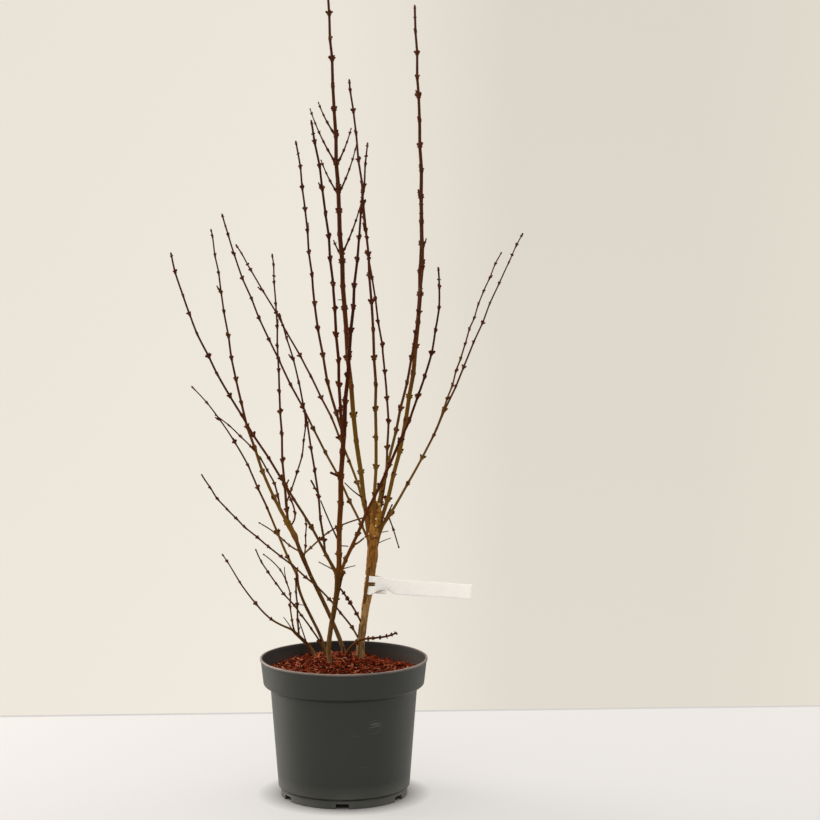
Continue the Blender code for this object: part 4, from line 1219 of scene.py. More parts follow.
@dataclass
class TwiggyEnds:
    """The ends of the long whips, with their side twigs and spurs, joined by kind of wood."""

    paths: dict[str, LimbPath]
    bark: BarkBuilder
    sides: int = 12
    plug: float = 2 * MM  # how far an end is sunk in its bough's tip
    sunk_share: float = 0.85  # how thick it is there
    spur_share: float = 0.10  # chance of one more tiny spur at a pair
    spur_length: Pair = (0.004, 0.008)
    spur_foot: float = 0.0016
    side_twigs: list[SideTwig] = field(default_factory=list)

    def plan(self, path: LimbPath) -> list[Four]:
        """Side twigs as share, azimuth, length and foot, by the part's seeded rule."""
        rng = random.Random(TWIG_SEED + path.index)
        rows = []
        if path.limb.name == "whip_tallest":
            for share, left, right in TALLEST_PAIRS:
                turn = rng.uniform(-PAIR_TURN, PAIR_TURN)
                rows.append((share, math.pi + turn, left, SIDE_TWIG_FOOT))
                rows.append((share, turn, right, SIDE_TWIG_FOOT))
            return rows
        for share in path.nodes:
            chance, azimuth = rng.random(), rng.uniform(0, math.tau)
            length = rng.uniform(*SPUR_LENGTH)
            if chance < SPUR_CHANCE and path.limb.enter + SPUR_FIRST < share < SPUR_LAST:
                rows.append((share, azimuth, length, SPUR_FOOT))
        return rows

    def fine_spurs(self, path: LimbPath) -> list[Four]:
        """Tiny spurs beyond the part's, shorter than any of its own, on every whip and shoot."""
        rng = random.Random(SPUR_SEED + path.index)
        rows = []
        for share in path.nodes:
            chance, azimuth = rng.random(), rng.uniform(0, math.tau)
            length = rng.uniform(*self.spur_length)
            if chance < self.spur_share and 0.1 < share < SPUR_LAST:
                rows.append((share, azimuth, length, self.spur_foot))
        return rows

    def grow(self, path: LimbPath, row: Four) -> SideTwig:
        """A side twig from its row of the plan."""
        share, azimuth, length, foot = row
        along = path.along(share)
        side = np.array((math.cos(azimuth), math.sin(azimuth), 0.0))
        side = unit(side - along * (side @ along))
        return SideTwig(path.axis(share), along, side, length, foot, path.limb.wood)

    def build(self) -> None:
        """Make one piece for each kind of wood, in place of the twigs' solids."""
        for wood, finish in TWIG_BARKS.items():
            patches, nodes = [], []
            for path in self.paths.values():
                if path.limb.wood is not wood:
                    continue
                twigs = [self.grow(path, row) for row in self.fine_spurs(path)]
                if path.limb.enter < 1:
                    stop = 1 - 0.7 * TIP_BUD / path.length
                    start = path.limb.enter - self.plug / path.length
                    tube = self.bark.tube(path, start, stop, self.sides, False)
                    sunk = slice(0, self.sides)
                    middle = tube.points[sunk].mean(0)
                    tube.points[sunk] = middle + (tube.points[sunk] - middle) * self.sunk_share
                    patches.append(Patch(tube.points, tube.faces))
                    nodes.append(path.limb.name.replace("whip", "twigs"))
                    twigs += [self.grow(path, row) for row in self.plan(path)]
                patches += [twig.tube(TWIG_SKIN_SEED + path.index) for twig in twigs]
                self.side_twigs += twigs
            add_piece("twiggy_ends_" + wood.value, patches, [finish.build()],
                      tuple(nodes))


@dataclass
class Buds:
    """Winter buds, leaf scars and pores on every limb.

    A bud is a blunt oval of overlapping scales: its radius over its length u is
    u^0.5 (1 - u)^0.55, with a lip at each scale's edge.  At a pair two or three of them
    crowd over each other on each side, so that the pair looks like one knob.
    """

    paths: dict[str, LimbPath]
    bark: BarkBuilder
    side_twigs: list[SideTwig]
    length: float = 4.9 * MM
    width: float = 0.62  # share of its length
    side_length: float = 3.7 * MM
    lean: Pair = (0.50, 0.92)  # radians out from the limb
    twig_bud: float = 3.0 * MM
    young: tuple[Pair, ...] = (  # from a whip's tip, and their sizes
        (6.6 * MM, 0.42), (21 * MM, 0.54), (38 * MM, 0.66))
    young_apart: float = 9 * MM
    tip_buds: Pair = (5.6 * MM, 4.6 * MM)  # lengths, on a thick and a thin limb
    tip_width: float = 0.66
    twig_bud_width: float = 0.68
    scales: int = 3
    lip: float = 0.12
    pore_spacing: float = 6.5 * MM
    pore_size: float = 0.38 * MM
    places: list[tuple[Array, Array, float, float]] = field(default_factory=list)

    def template(self, sides: int, rows: int) -> Patch:
        """One bud of unit length and unit radius, pointing along +Z."""
        u = np.linspace(0, 1, rows + 1)[:-1][:, None] * 0.985 + 0.01
        angle = ring_angles(sides)
        body = u ** 0.5 * (1 - u) ** 0.55 / 0.596
        rise = (u * self.scales + 0.5 * (np.cos(2 * angle) > 0)) % 1
        radius = body * (1 + self.lip * rise ** 2 * (u < 0.85))
        z = np.broadcast_to(u, radius.shape)
        rings = np.stack((radius * np.cos(angle), radius * np.sin(angle), z), -1)
        patch = capped_grid(rings, {})
        patch.points[-1] = (0, 0, 1)
        return patch

    def gather(self) -> None:
        """List every bud as base, direction, length and width."""
        rng = np.random.default_rng(SEED)
        for path in self.paths.values():
            for number, share in enumerate(path.nodes):
                half = float(path.thickness(share)) / 2
                size = float(np.clip(0.20 + 0.50 * half / MM, 0.66, 1.2)) * rng.uniform(0.85, 1.15)
                self.pair(path, share, path.bud_angle(number), half, size, rng)
            more = [(share, 0.72) for share in CROWDED.get(path.limb.name, ())]
            if path.limb.name == "whip_tallest":
                more = [(share + 1.5 * MM / path.length, 0.8) for share, _, _ in TALLEST_PAIRS]
            if path.limb.enter < 1:
                taken = [path.length * (1 - share) for share in path.nodes]
                more += [(1 - back / path.length, size) for back, size in self.young
                         if min(abs(place - back) for place in taken) > self.young_apart]
            for share, size in more:
                half, turn = float(path.thickness(share)) / 2, math.pi / 2 + rng.uniform(-0.5, 0.5)
                self.pair(path, share, turn, half, size * rng.uniform(0.9, 1.15), rng)
            tip, along = path.axis(1.0), path.along(1.0)
            if not path.limb.is_stem:
                length = self.tip_buds[0 if path.limb.foot > THIN_FOOT else 1]
                self.places.append((tip - along * length, along, length, self.tip_width))
        for twig in self.side_twigs:
            shares = twig.bud_places()
            centres, alongs = twig.points(shares)
            for k, (centre, along) in enumerate(zip(centres, alongs)):
                for half_turn in (0, math.pi):
                    angle = math.pi / 2 * (k % 2) + half_turn + rng.uniform(-0.3, 0.3)
                    out = outward(along, angle)
                    lean = rng.uniform(*self.lean)
                    heading = along * math.cos(lean) + out * math.sin(lean)
                    length = self.twig_bud * rng.uniform(0.85, 1.15)
                    self.places.append(
                        (centre + out * 0.4 * MM, heading, length, self.twig_bud_width))
            end, along = twig.points(np.array([1.0]))
            self.places.append((end[0] - along[0] * 3.8 * MM, along[0], 4.2 * MM, 0.62))

    def pair(self, path: LimbPath, share: float, first: float, half: float, size: float,
             rng: np.random.Generator) -> None:
        """A pair of opposite buds, each with up to two smaller ones above or beside it.

        Args:
            path: The limb.
            share: Where the pair sits.
            first: Angle of its first bud round the limb.
            half: Half the limb's thickness there.
            size: Scale of the buds.
            rng: Source of the draws.
        """
        for half_turn in (0, math.pi):
            extra = rng.choice(3, p=(0.15, 0.33, 0.52))
            above = size * rng.uniform(1.5, 2.2) * MM
            for k in range(1 + extra):
                turn = first + half_turn + (0.0, 0.15, 1.0)[k] * rng.choice((-1, 1))
                turn += rng.uniform(-0.15, 0.15)
                along = path.along(share)
                out = outward(along, turn)
                lean = rng.uniform(*self.lean)
                heading = along * math.cos(lean) + out * math.sin(lean)
                length = self.length if k == 0 else self.side_length
                length = length * size * rng.uniform(0.85, 1.12)
                rise = rng.uniform(-0.4, 0.4) * MM + (0.0, above, 0.3 * above)[k]
                base = path.centre(share + rise / path.length) + out * half * 0.72
                self.places.append((base, heading, length, self.width * rng.uniform(0.9, 1.12)))

    def build(self) -> None:
        """Make the buds, dealt out among three tints, and the leaf scars and pores."""
        self.gather()
        rng = np.random.default_rng(SEED + 1)
        base, heading, length, width = columns_of(self.places)
        radius = length * width / 2
        across, other = cross_axes(heading)
        turn = rng.uniform(0, math.tau, len(base))[:, None]
        axes = np.stack((across * np.cos(turn) + other * np.sin(turn),
                         other * np.cos(turn) - across * np.sin(turn), heading), 1)
        size = np.stack((radius, radius, length), -1)
        tint = rng.choice(3, len(base), p=(0.42, 0.38, 0.20))
        materials = [finish.build() for finish in BUD_SCALES]
        large = length > 3.3 * MM
        for name, chosen, shape in (("buds", large, self.template(8, 9)),
                                    ("small_buds", ~large, self.template(6, 6))):
            patches = []
            for k in range(3):
                pick = chosen & (tint == k)
                patches.append(scatter(shape, base[pick], axes[pick], size[pick], k))
            add_piece(name, patches, materials)
        self.build_scars()
        self.build_pores()

    def blister(self, sides: int) -> Patch:
        """A low dome of unit radius and unit height over the plane z = 0, closed below."""
        angle = ring_angles(sides)[0]
        rings = [np.stack((r * np.cos(angle), r * np.sin(angle), np.full(sides, z)), -1)
                 for r, z in ((0.9, -0.6), (1.0, 0.15), (0.62, 0.8))]
        patch = capped_grid(np.array(rings), {})
        patch.points[-1] = (0, 0, 1)
        return patch

    def on_bark(self, path: LimbPath, share: float, angle: float) -> tuple[Array, Array]:
        """Point on the bark and its axes: round the limb, along it, and outwards."""
        along = path.along(share)
        out = outward(along, angle)
        radius = self.bark.relief.radius(path, np.array([[share]]), np.array([[angle]]))[0, 0]
        return path.centre(share) + out * radius, np.stack((np.cross(along, out), along, out))

    def strew(self, name: str, places: list[tuple[Array, Array, float]], sides: int,
              shape: Triple, unit_size: float, finish: GrainFinish) -> None:
        """Make one piece of blisters.

        Args:
            name: Name of the piece.
            places: Point, axes and size of each.
            sides: Points round each of them.
            shape: Their width, length and height, as shares of their size.
            unit_size: Metres of size 1.
            finish: Their material.
        """
        base, axes, size = columns_of(places)
        size = size[:, None] * np.array(shape) * unit_size
        add_piece(name, [scatter(self.blister(sides), base, axes, size)], [finish.build()])

    def build_scars(self) -> None:
        """A small corky half moon under each bud of a pair."""
        places = []
        for path in self.paths.values():
            for number, share in enumerate(path.nodes):
                size = float(np.clip(path.thickness(share) / (4.4 * MM), 0.5, 1.3))
                for half_turn in (0, math.pi):
                    at = self.on_bark(path, share - 1.2 * MM / path.length,
                                      path.bud_angle(number) + half_turn)
                    places.append((*at, size))
        self.strew("leaf_scars", places, 8, (0.95, 0.62, 0.30), MM, LEAF_SCAR)

    def build_pores(self) -> None:
        """Raised cork pores strewn over the bark of stems and whips."""
        rng = np.random.default_rng(SEED + 2)
        places = []
        for path in self.paths.values():
            girth = math.pi * float(path.thickness(MEAN_SHARE))
            count = int(path.length * girth / self.pore_spacing ** 2)
            for _ in range(count):
                share, angle = rng.uniform(0.04, 0.96), rng.uniform(0, math.tau)
                size = rng.uniform(0.6, 1.25) * (1.5 if path.limb.is_stem else 1.0)
                places.append((*self.on_bark(path, share, angle), size))
        self.strew("cork_pores", places, 6, (1.0, 1.25, 0.5), self.pore_size, PORE)


@dataclass(frozen=True)
class Snag:
    """A twig stub, dry stalk or pruning cut on a limb, beyond those of the part."""

    carrier: str
    share: float
    azimuth: float  # degrees round +Z from +X
    rise: float  # degrees above the level
    length: float
    foot: float
    tip: float
    finish: int  # 0 bark, 1 dry stalk, 2 cut wood
    shift: Triple = (0.0, 0.0, 0.0)  # from the carrier's axis


SNAGS = tuple(Snag(*row) for row in (
    ("whip_centre", 0.071, 186, 67, 0.069, 0.0027, 0.0019, 0),
    ("whip_centre", 0.226, 185, 32, 0.019, 0.0022, 0.0038, 0),
    ("whip_centre", 0.064, 350, -2, 0.014, 0.0022, 0.0015, 0),
    ("whip_front_left", 0.262, 176, 62, 0.021, 0.0024, 0.0028, 0),
    ("whip_front_left", 0.276, 180, 20, 0.0065, 0.0024, 0.0028, 0),
    ("stem_front", 0.985, 176, 28, 0.034, 0.0025, 0.0018, 1),
    ("stem_front", 0.990, 350, 17, 0.0265, 0.0021, 0.0014, 1, (0, 0, 0.003)),
    ("stem_front", 0.950, 5, 25, 0.0115, 0.0028, 0.0026, 0),
    ("stem_front", 0.690, 185, 30, 0.0065, 0.0028, 0.0024, 0),
    ("stem_front", 0.690, 0, 25, 0.0060, 0.0028, 0.0024, 0),
    ("stem_right", 0.720, 340, 26, 0.033, 0.0020, 0.0013, 1),
    ("stem_right", 0.790, 335, 18, 0.026, 0.0020, 0.0013, 1),
    ("whip_tallest", 0.040, 200, 40, 0.0405, 0.0024, 0.0016, 0),
    ("whip_tallest", 0.389, 181, 2, 0.0095, 0.0016, 0.0012, 0),
    ("stem_right", 0.895, 283, 8, 0.0118, 0.0030, 0.0028, 2),
    ("stem_right", 0.850, 285, 8, 0.0116, 0.0026, 0.0024, 2),
    ("stem_right", 0.790, 278, 6, 0.0108, 0.0032, 0.0030, 2),
    ("stem_right", 0.800, 226, 8, 0.0112, 0.0024, 0.0022, 2),
    ("stem_right", 0.970, 265, 35, 0.0130, 0.0026, 0.0022, 2),
    ("stem_right", 0.965, 312, 35, 0.0128, 0.0028, 0.0024, 2),
    ("shoot_left_back", 0.655, 165, 82, 0.022, 0.0018, 0.0012, 0),
    ("stem_far_left", 0.97, 168, 54, 0.024, 0.0018, 0.0012, 0),
    ("stem_far_left", 0.90, 150, 70, 0.012, 0.0018, 0.0013, 0),
    ("stem_far_left", 0.80, 40, 62, 0.013, 0.0017, 0.0012, 0),
    ("stem_left", 0.62, 195, 10, 0.017, 0.0014, 0.0009, 1),
    ("stem_far_left", 0.0, 180, 72, 0.062, 0.0026, 0.0016, 0, (-0.006, 0.0, 0.002)),
    ("stem_right", 0.0, 90, 84, 0.015, 0.0026, 0.0020, 0, (-0.0245, 0.006, 0.002)),
    ("stem_right", 0.0, 195, 56, 0.016, 0.0032, 0.0024, 0, (-0.006, -0.014, 0.0)),
))


@dataclass
class Snags:
    """All the snags, as short, slightly bent, closed tubes.

    centre = start + heading x length x s + bend x 4 s (1 - s)
    """

    paths: dict[str, LimbPath]
    sides: int = 10
    bend: float = 0.05  # share of the length by which it bends

    def patch(self, snag: Snag, seed: int) -> Patch:
        """One snag; a cut one ends in a rounded face."""
        path = self.paths[snag.carrier]
        azimuth, rise = math.radians(snag.azimuth), math.radians(snag.rise)
        heading = np.array((math.cos(azimuth) * math.cos(rise), math.sin(azimuth) * math.cos(rise),
                            math.sin(rise)))
        s = np.append(np.linspace(0, 0.97, 13), 1.0)[:, None]
        rng = np.random.default_rng(seed)
        bend = rng.uniform(-1, 1, 3) * self.bend * snag.length
        start = path.axis(snag.share) + np.array(snag.shift)
        centre = start + heading * snag.length * s + bend * s * (1 - s) * 4
        angle = ring_angles(self.sides)
        radius = (snag.foot + (snag.tip - snag.foot) * s ** 0.8) / 2
        radius = radius * (1 + 0.10 * lattice_noise(s, angle / math.tau, (5, 5), seed))
        radius[-1] *= 0.6
        along = unit(np.gradient(centre, axis=0))
        tube = capped_grid(rings_round(centre, along, angle, radius), {})
        return Patch(tube.points, tube.faces, {}, snag.finish)

    def build(self) -> None:
        """Make one piece of them all."""
        patches = [self.patch(snag, SNAG_SEED + number) for number, snag in enumerate(SNAGS)]
        finishes = [TWIG_BARKS[Wood.RED].build(), DRY_STALK.build(), CUT_WOOD.build()]
        add_piece("snags", patches, finishes)


# The pot, its filling and the tag


def rounded(corners: list[Triple], steps: int = 5) -> Array:
    """Outline with its corners rounded.

    Each corner is (radius, height, ease).  Between the two points that lie ease away from the
    corner the outline follows the curve (1 - s)^2 a + 2 s (1 - s) corner + s^2 b.

    Args:
        corners: The outline's corners in order.
        steps: Points on each rounded corner, less one.

    Returns:
        Points, n by 2.
    """
    places = np.array([corner[:2] for corner in corners])
    out = [places[:1]]
    s = np.linspace(0, 1, steps + 1)[:, None]
    for k in range(1, len(places) - 1):
        ease = corners[k][2]
        if ease == 0:
            out.append(places[k:k + 1])
            continue
        before, after = places[k - 1] - places[k], places[k + 1] - places[k]
        reach = min(ease, np.linalg.norm(before) * 0.45, np.linalg.norm(after) * 0.45)
        a, b = places[k] + unit(before) * reach, places[k] + unit(after) * reach
        out.append((1 - s) ** 2 * a + 2 * s * (1 - s) * places[k] + s ** 2 * b)
    return np.concatenate(out + [places[-1:]])


@dataclass
class NurseryPot:
    """Moulded nursery pot, turned about +Z, with six drainage notches in its foot ring."""

    rim: float = 0.124
    height: float = 0.205
    bead: float = 0.0034
    lip: float = 0.0012
    collar: float = 0.039
    collar_taper: float = 0.005
    step: float = 0.006
    body: float = 0.1085
    base: float = 0.0975
    foot: float = 0.0940
    foot_height: float = 0.013
    wall: float = 0.002
    ease: float = 0.001
    floor_lift: float = 0.0085
    boss: float = 0.028
    foot_wall: float = 0.004
    notches: int = 6
    notch_width: float = 0.020
    notch_height: float = 0.0078
    columns: int = 288

    def inside(self) -> list[Triple]:
        """Corners of the inner wall, from the floor's edge up to the rim."""
        low = self.height - self.collar
        return [
            (self.foot - self.wall, self.floor_lift + self.wall, 0.001),
            (self.foot - self.wall, self.foot_height + self.ease, 0.0005),
            (self.base - self.wall, self.foot_height + self.ease + self.wall, 0.0005),
            (self.body - self.wall, low - self.step + self.wall, 0.001),
            (self.rim - self.collar_taper - self.wall, low + self.wall, 0.001),
            (self.rim - self.lip - self.wall, self.height, 0.0009),
        ]

    def outline(self) -> Array:
        """The whole section, from the middle of the underside out, up, over the rim and in."""
        low = self.height - self.collar
        side = self.rim - self.collar_taper
        outer = [
            (0, 0, 0), (self.boss, 0, 0.0012), (self.boss + self.wall, self.floor_lift, 0.0012),
            (self.foot - self.foot_wall, self.floor_lift, 0.001),
            (self.foot - self.foot_wall, 0, 0.0008), (self.foot, 0, 0.0008),
            (self.foot, self.foot_height, 0.0008),
            (self.base, self.foot_height + self.ease, 0.0010),
            (self.body, low - self.step, 0.0016),
            (side - 2 * self.ease, low - self.ease, 0.0012),
            (side, low + self.ease, 0.0014),
            (self.rim - self.lip, self.height - self.bead - self.ease, 0.0008),
            (self.rim, self.height - self.bead, 0.0008), (self.rim, self.height, 0.0009),
        ]
        floor = [(self.boss + self.ease, self.floor_lift + self.wall, 0.001),
                 (self.boss - self.wall, self.wall, 0.001), (0, self.wall, 0)]
        corners = rounded(outer + self.inside()[::-1] + floor)
        parts = []
        for a, b in zip(corners, corners[1:]):
            count = max(1, round(float(np.linalg.norm(b - a)) / 0.004))
            parts.append(a + (b - a) * np.arange(count)[:, None] / count)
        return np.concatenate(parts + [corners[-1:]])

    def angles(self) -> tuple[Array, Array]:
        """Column angles, with more of them at each notch's sides, and the lift of the foot there.

        lift = height x sqrt(1 - (1 - d / r)^2) for a distance d inside the notch's side, up to
        the corner's radius r, and the whole height further in.
        """
        pitch = math.tau / self.notches
        half = self.notch_width / 2 / self.foot
        corner = 0.0016 / self.foot
        even = np.linspace(-pitch / 2, pitch / 2, self.columns // self.notches, endpoint=False)
        inner = half - corner * (1 - np.linspace(0, 1, 6) ** 2)
        inner = np.concatenate((inner, [half + 0.0002 / self.foot]))
        offsets = np.unique(np.concatenate((even[np.abs(np.abs(even) - half) > corner * 1.5],
                                            inner, -inner)))
        depth = np.clip((half - np.abs(offsets)) / corner, 0, 1)
        lift = self.notch_height * np.sqrt(1 - (1 - depth) ** 2)
        lift[np.abs(offsets) > half] = 0
        turns = -math.pi / 2 + pitch * np.arange(self.notches)[:, None] + offsets[None]
        return turns.ravel(), np.tile(lift, self.notches)

    def build(self) -> None:
        """Make the pot: point = (r cos a, r sin a, z), with z lifted in the notches."""
        outline = self.outline()
        turns, lift = self.angles()
        radius, z = outline[1:-1, 0][:, None], outline[1:-1, 1][:, None]
        z = np.broadcast_to(z, (len(z), len(turns)))
        ring = (radius > (self.boss + self.foot) / 2) & (z < self.notch_height)
        z = np.where(ring, np.maximum(z, lift[None]), z)
        rings = np.stack((radius * np.cos(turns), radius * np.sin(turns), z), -1)
        inner = outline[:, 0] < self.rim - self.lip - self.wall + 0.0003
        inner = (inner & (np.arange(len(outline)) > outline[:, 1].argmax()))[1:-1] * 0.85
        patch = capped_grid(rings, {"inside": np.broadcast_to(inner[:, None], rings.shape[:2])})
        patch.points[-2], patch.points[-1] = (0, 0, outline[0, 1]), (0, 0, outline[-1, 1])
        add_piece("nursery_pot", [patch], [MouldedPolypropylene().build()], ("pot",))


@dataclass
class BarkMulch:
    """Filling of the pot: a plug with a heaped, crumbly top, under loose bark chips."""

    pot: NurseryPot
    edge: float = 0.184
    rise: float = 0.017
    spread: float = 0.075
    heap: Pair = (-0.010, 0.028)
    gap: float = 0.0003
    inset: float = 0.0006
    columns: int = 160
    rings: int = 54
    crumb: float = 1.3 * MM
    sink: float = 1.6 * MM  # the plug's top lies this far below the chips'
    dips: tuple[Four, ...] = (  # x, y, reach, depth
        (0.090, 0.030, 0.020, 0.004), (0.070, 0.080, 0.048, 0.0080), (-0.095, 0.050, 0.045, 0.0045))
    chips: int = 5200
    long_chips: float = 0.30
    chip_sides: int = 6

    def height(self, x: Array, y: Array) -> Array:
        """Height: edge + rise x exp(-(distance from the heap / spread)^2), less the dips."""
        away = ((x - self.heap[0]) ** 2 + (y - self.heap[1]) ** 2) / self.spread ** 2
        height = self.edge + self.rise * np.exp(-away)
        for dip_x, dip_y, reach, depth in self.dips:
            height = height - depth * np.exp(-((x - dip_x) ** 2 + (y - dip_y) ** 2) / reach ** 2)
        return height

    def wall(self) -> list[Pair]:
        """The pot's inner wall drawn in by the gap, up to where the mulch meets it."""
        corners = [corner[:2] for corner in self.pot.inside()]
        side = [(radius - self.inset, height + self.gap) for radius, height in corners[:-1]]
        (low_radius, low), (high_radius, high) = corners[-2:]
        edge = low_radius + (high_radius - low_radius) * (self.edge - low) / (high - low)
        return side + [(edge - self.inset, self.edge)]

    def build(self) -> None:
        """Make the plug and the chips."""
        side = self.wall()
        turns = ring_angles(self.columns)
        radius, lower = (part[:, None] for part in columns_of(side))
        inward = side[-1][0] * (1 - np.arange(1, self.rings) / self.rings)[:, None]
        x, y = inward * np.cos(turns), inward * np.sin(turns)
        coarse = lattice_noise(inward / side[0][0], turns / math.tau, (14, 40), MULCH_SEEDS[0])
        fine = lattice_noise(inward / side[0][0], turns / math.tau, (40, 110), MULCH_SEEDS[1])
        top = self.height(x, y) - self.sink + self.crumb * (0.6 * coarse + 0.5 * fine)
        top += 0.6 * self.sink * (inward / inward.max()) ** 12
        z = np.concatenate((np.broadcast_to(lower, (len(side), self.columns)), top))
        r = np.broadcast_to(np.concatenate((radius, inward)), z.shape).copy()
        last = len(side) - 1
        edge = self.height(side[-1][0] * np.cos(turns[0]), side[-1][0] * np.sin(turns[0]))
        z[last] = np.minimum(z[last], edge)
        r[last] -= 0.15 * (self.edge - z[last])
        rings = np.stack((r * np.cos(turns), r * np.sin(turns), z), -1)
        # the plug's near-black colour stands for the shade in the gaps between chips
        add_piece("potting_mix", [capped_grid(rings, {})], [POTTING_MIX_AS_GAP_SHADE.build()],
                  ("mulch",))
        self.build_chips(side[-1][0])

    def build_chips(self, reach: float) -> None:
        """Loose chips: each a thin slab with an irregular outline, bent and tilted.

        Outline point k of a chip = (l cos a_k, w sin a_k) / 2, with each angle and radius a
        little off, and its height = thickness / 2 x side + bend x (along / length)^2.

        Args:
            reach: Radius of the mulch at the wall.
        """
        rng = np.random.default_rng(SEED + 3)
        n, m = self.chips, self.chip_sides
        long = rng.random(n) < self.long_chips
        length = np.where(long, rng.uniform(10, 17, n), 3.4 + 6.0 * rng.random(n) ** 1.4) * MM
        width = np.minimum(rng.uniform(1.3, 3.3, n) * MM, length * 0.55)
        thick = rng.uniform(0.45, 1.2, n) * MM
        angle = ring_angles(m) + rng.uniform(-0.3, 0.3, (n, m))
        out = rng.uniform(0.72, 1.12, (n, m))
        flat_x, flat_y = np.cos(angle) * out / 2, np.sin(angle) * out / 2
        bend = rng.uniform(-0.16, 0.16, n)[:, None] * length[:, None]
        layers = []
        for side, shrink in ((-1, 0.82), (1, 1.0)):
            lift = side * thick[:, None] / 2 + bend * (2 * flat_x) ** 2
            layers.append(np.stack((flat_x * length[:, None] * shrink,
                                    flat_y * width[:, None] * shrink, lift), -1))
        local = np.concatenate(layers, 1)
        tilt, lean_to = np.abs(rng.normal(0, 0.46, n)), rng.uniform(0, math.tau, n)
        normal = np.stack((np.sin(tilt) * np.cos(lean_to), np.sin(tilt) * np.sin(lean_to),
                           np.cos(tilt)), -1)
        across, other = cross_axes(normal)
        yaw = rng.uniform(0, math.tau, n)[:, None]
        ahead = across * np.cos(yaw) + other * np.sin(yaw)
        axes = np.stack((ahead, np.cross(normal, ahead), normal), 1)
        away, turn = reach * np.sqrt(rng.random(n)) * 0.985, rng.uniform(0, math.tau, n)
        x, y = away * np.cos(turn), away * np.sin(turn)
        base = np.stack((x, y, self.height(x, y) + rng.uniform(-2.6, 2.0, n) * MM), -1)
        points = base[:, None] + np.einsum("nvk,nkc->nvc", local, axes)
        distance = np.hypot(points[..., 0], points[..., 1])
        pull = np.minimum(1, (reach - 0.4 * MM) / distance)
        points[..., 0] *= pull
        points[..., 1] *= pull
        ring = np.arange(m)
        after = (ring + 1) % m
        rim = np.stack((ring, after, m + after, m + ring), -1)
        faces = [rim, ring[None, ::-1], (m + ring)[None]]
        kinds = rng.choice(len(CHIPS), n, p=[share for _, share in CHIPS])
        for kind, (finish, _) in enumerate(CHIPS):
            chosen = points[kinds == kind]
            shift = (np.arange(len(chosen)) * 2 * m)[:, None, None]
            spread = [(part[None] + shift).reshape(-1, part.shape[1]) for part in faces]
            add_piece(finish.name + "s", [Patch(chosen.reshape(-1, 3), spread)], [finish.build()],
                      smooth=False)


@dataclass
class StemTag:
    """Blank label strip: a slot in its end lets it loop round the right stem in two bands."""

    stem: LimbPath
    width: float = 0.022
    loop_width: float = 0.028
    thick: float = 0.0004
    reach: float = 0.1545
    share: float = 0.478
    lift: float = 1.0
    tail: float = 0.028
    fan: float = 0.045
    belly: float = 0.0015
    gap: float = 0.0005
    loop_turn: float = 1.15 * math.pi
    slot_low: float = 0.45  # share of the loop's width, from its lower edge
    slot_high: float = 0.66
    slot_end: float = 0.0105  # the slot ends this far right of the stem's axis
    tuck: float = 0.0060  # how far its lower edge curls up beside the stem
    tuck_place: Pair = (0.0225, 0.0130)  # where, and half how long
    hug: float = 0.58  # how close it lies behind the strand, on the left
    rows: int = 21
    straight_steps: int = 90  # points in the strip, round the loop and back to its face
    loop_steps: int = 44
    back_steps: int = 14
    tail_gap: float = 0.0006  # between the tail and the face that it comes back to
    curl: float = 0.0022

    def route(self, radius: float) -> Array:
        """Plan of the strip: in from its free end, round the stem, and back to its own face."""
        inner = radius + self.gap + self.thick / 2
        x = np.linspace(self.reach, 0, self.straight_steps)[:-1]
        s = np.clip((x - self.tail) / (self.reach - self.tail), 0, 1)
        wave = self.belly * (np.sin(2.2 * math.pi * s) * 0.8 + s ** 2)
        straight = np.stack((x, -inner - wave), -1)
        turn = -math.pi / 2 - np.linspace(0, self.loop_turn, self.loop_steps)
        loop = np.stack((np.cos(turn), np.sin(turn)), -1) * inner
        loop[:, 0] = np.where(loop[:, 0] < 0, loop[:, 0] * self.hug, loop[:, 0])
        end = np.array((self.tail, -inner + self.thick + self.tail_gap))
        back = loop[-1] + (end - loop[-1]) * np.linspace(0, 1, self.back_steps)[1:, None]
        return np.concatenate((straight, loop, back))

    def build(self) -> None:
        """Make the strip: point = middle + right x + away y + up z, with its slot left open."""
        middle = self.stem.axis(self.share)
        up = unit(self.stem.along(self.share) + np.array((0, 0, self.lift)))
        right = unit(np.array((1.0, 0, 0)) - up * up[0])
        away = np.cross(up, right)
        top = self.share + self.loop_width / 2 / self.stem.length
        route = self.route(float(self.stem.thickness(top)) / 2 * 1.05)
        fan = np.clip(1 - np.maximum(0, route[:, 0]) / self.fan, 0, 1)
        fan = fan * fan * (3 - 2 * fan)
        width = self.width + (self.loop_width - self.width) * fan
        v = np.unique(np.append(np.linspace(0, 1, self.rows), (self.slot_low, self.slot_high)))
        rise = (v[None] - 0.5) * width[:, None]
        straight = (np.arange(len(route)) < self.straight_steps - 1)[:, None]
        curl = self.curl * fan[:, None] ** 2 * (1 - v[None]) ** 3 * straight
        flat = route[:, None] - np.stack((np.zeros_like(curl), curl), -1)
        place, half = self.tuck_place
        tucked = np.exp(-((route[:, :1] - place) / half) ** 4) * (1 - v[None]) ** 2 * straight
        rise = rise + self.tuck * tucked
        flat[..., 1] += 0.5 * self.tuck * tucked * (1 - v[None])
        points = middle + right * flat[..., :1] + away * flat[..., 1:] + up * rise[..., None]
        quads = grid_faces(len(route), len(v), False)
        row, column = quads[:, 0] // len(v), quads[:, 0] % len(v)
        in_slot = (v[column] > self.slot_low - 1e-6) & (v[column] < self.slot_high - 1e-6)
        in_slot &= (route[row, 0] < self.slot_end) & (row < len(route) - self.back_steps + 2)
        piece = add_piece("stem_tag", [Patch(points.reshape(-1, 3), [quads[~in_slot]])],
                          [LabelFilm().build()], ("tag",))
        solid = piece.modifiers.new("film", "SOLIDIFY")
        solid.thickness = self.thick
        solid.offset = 0.0


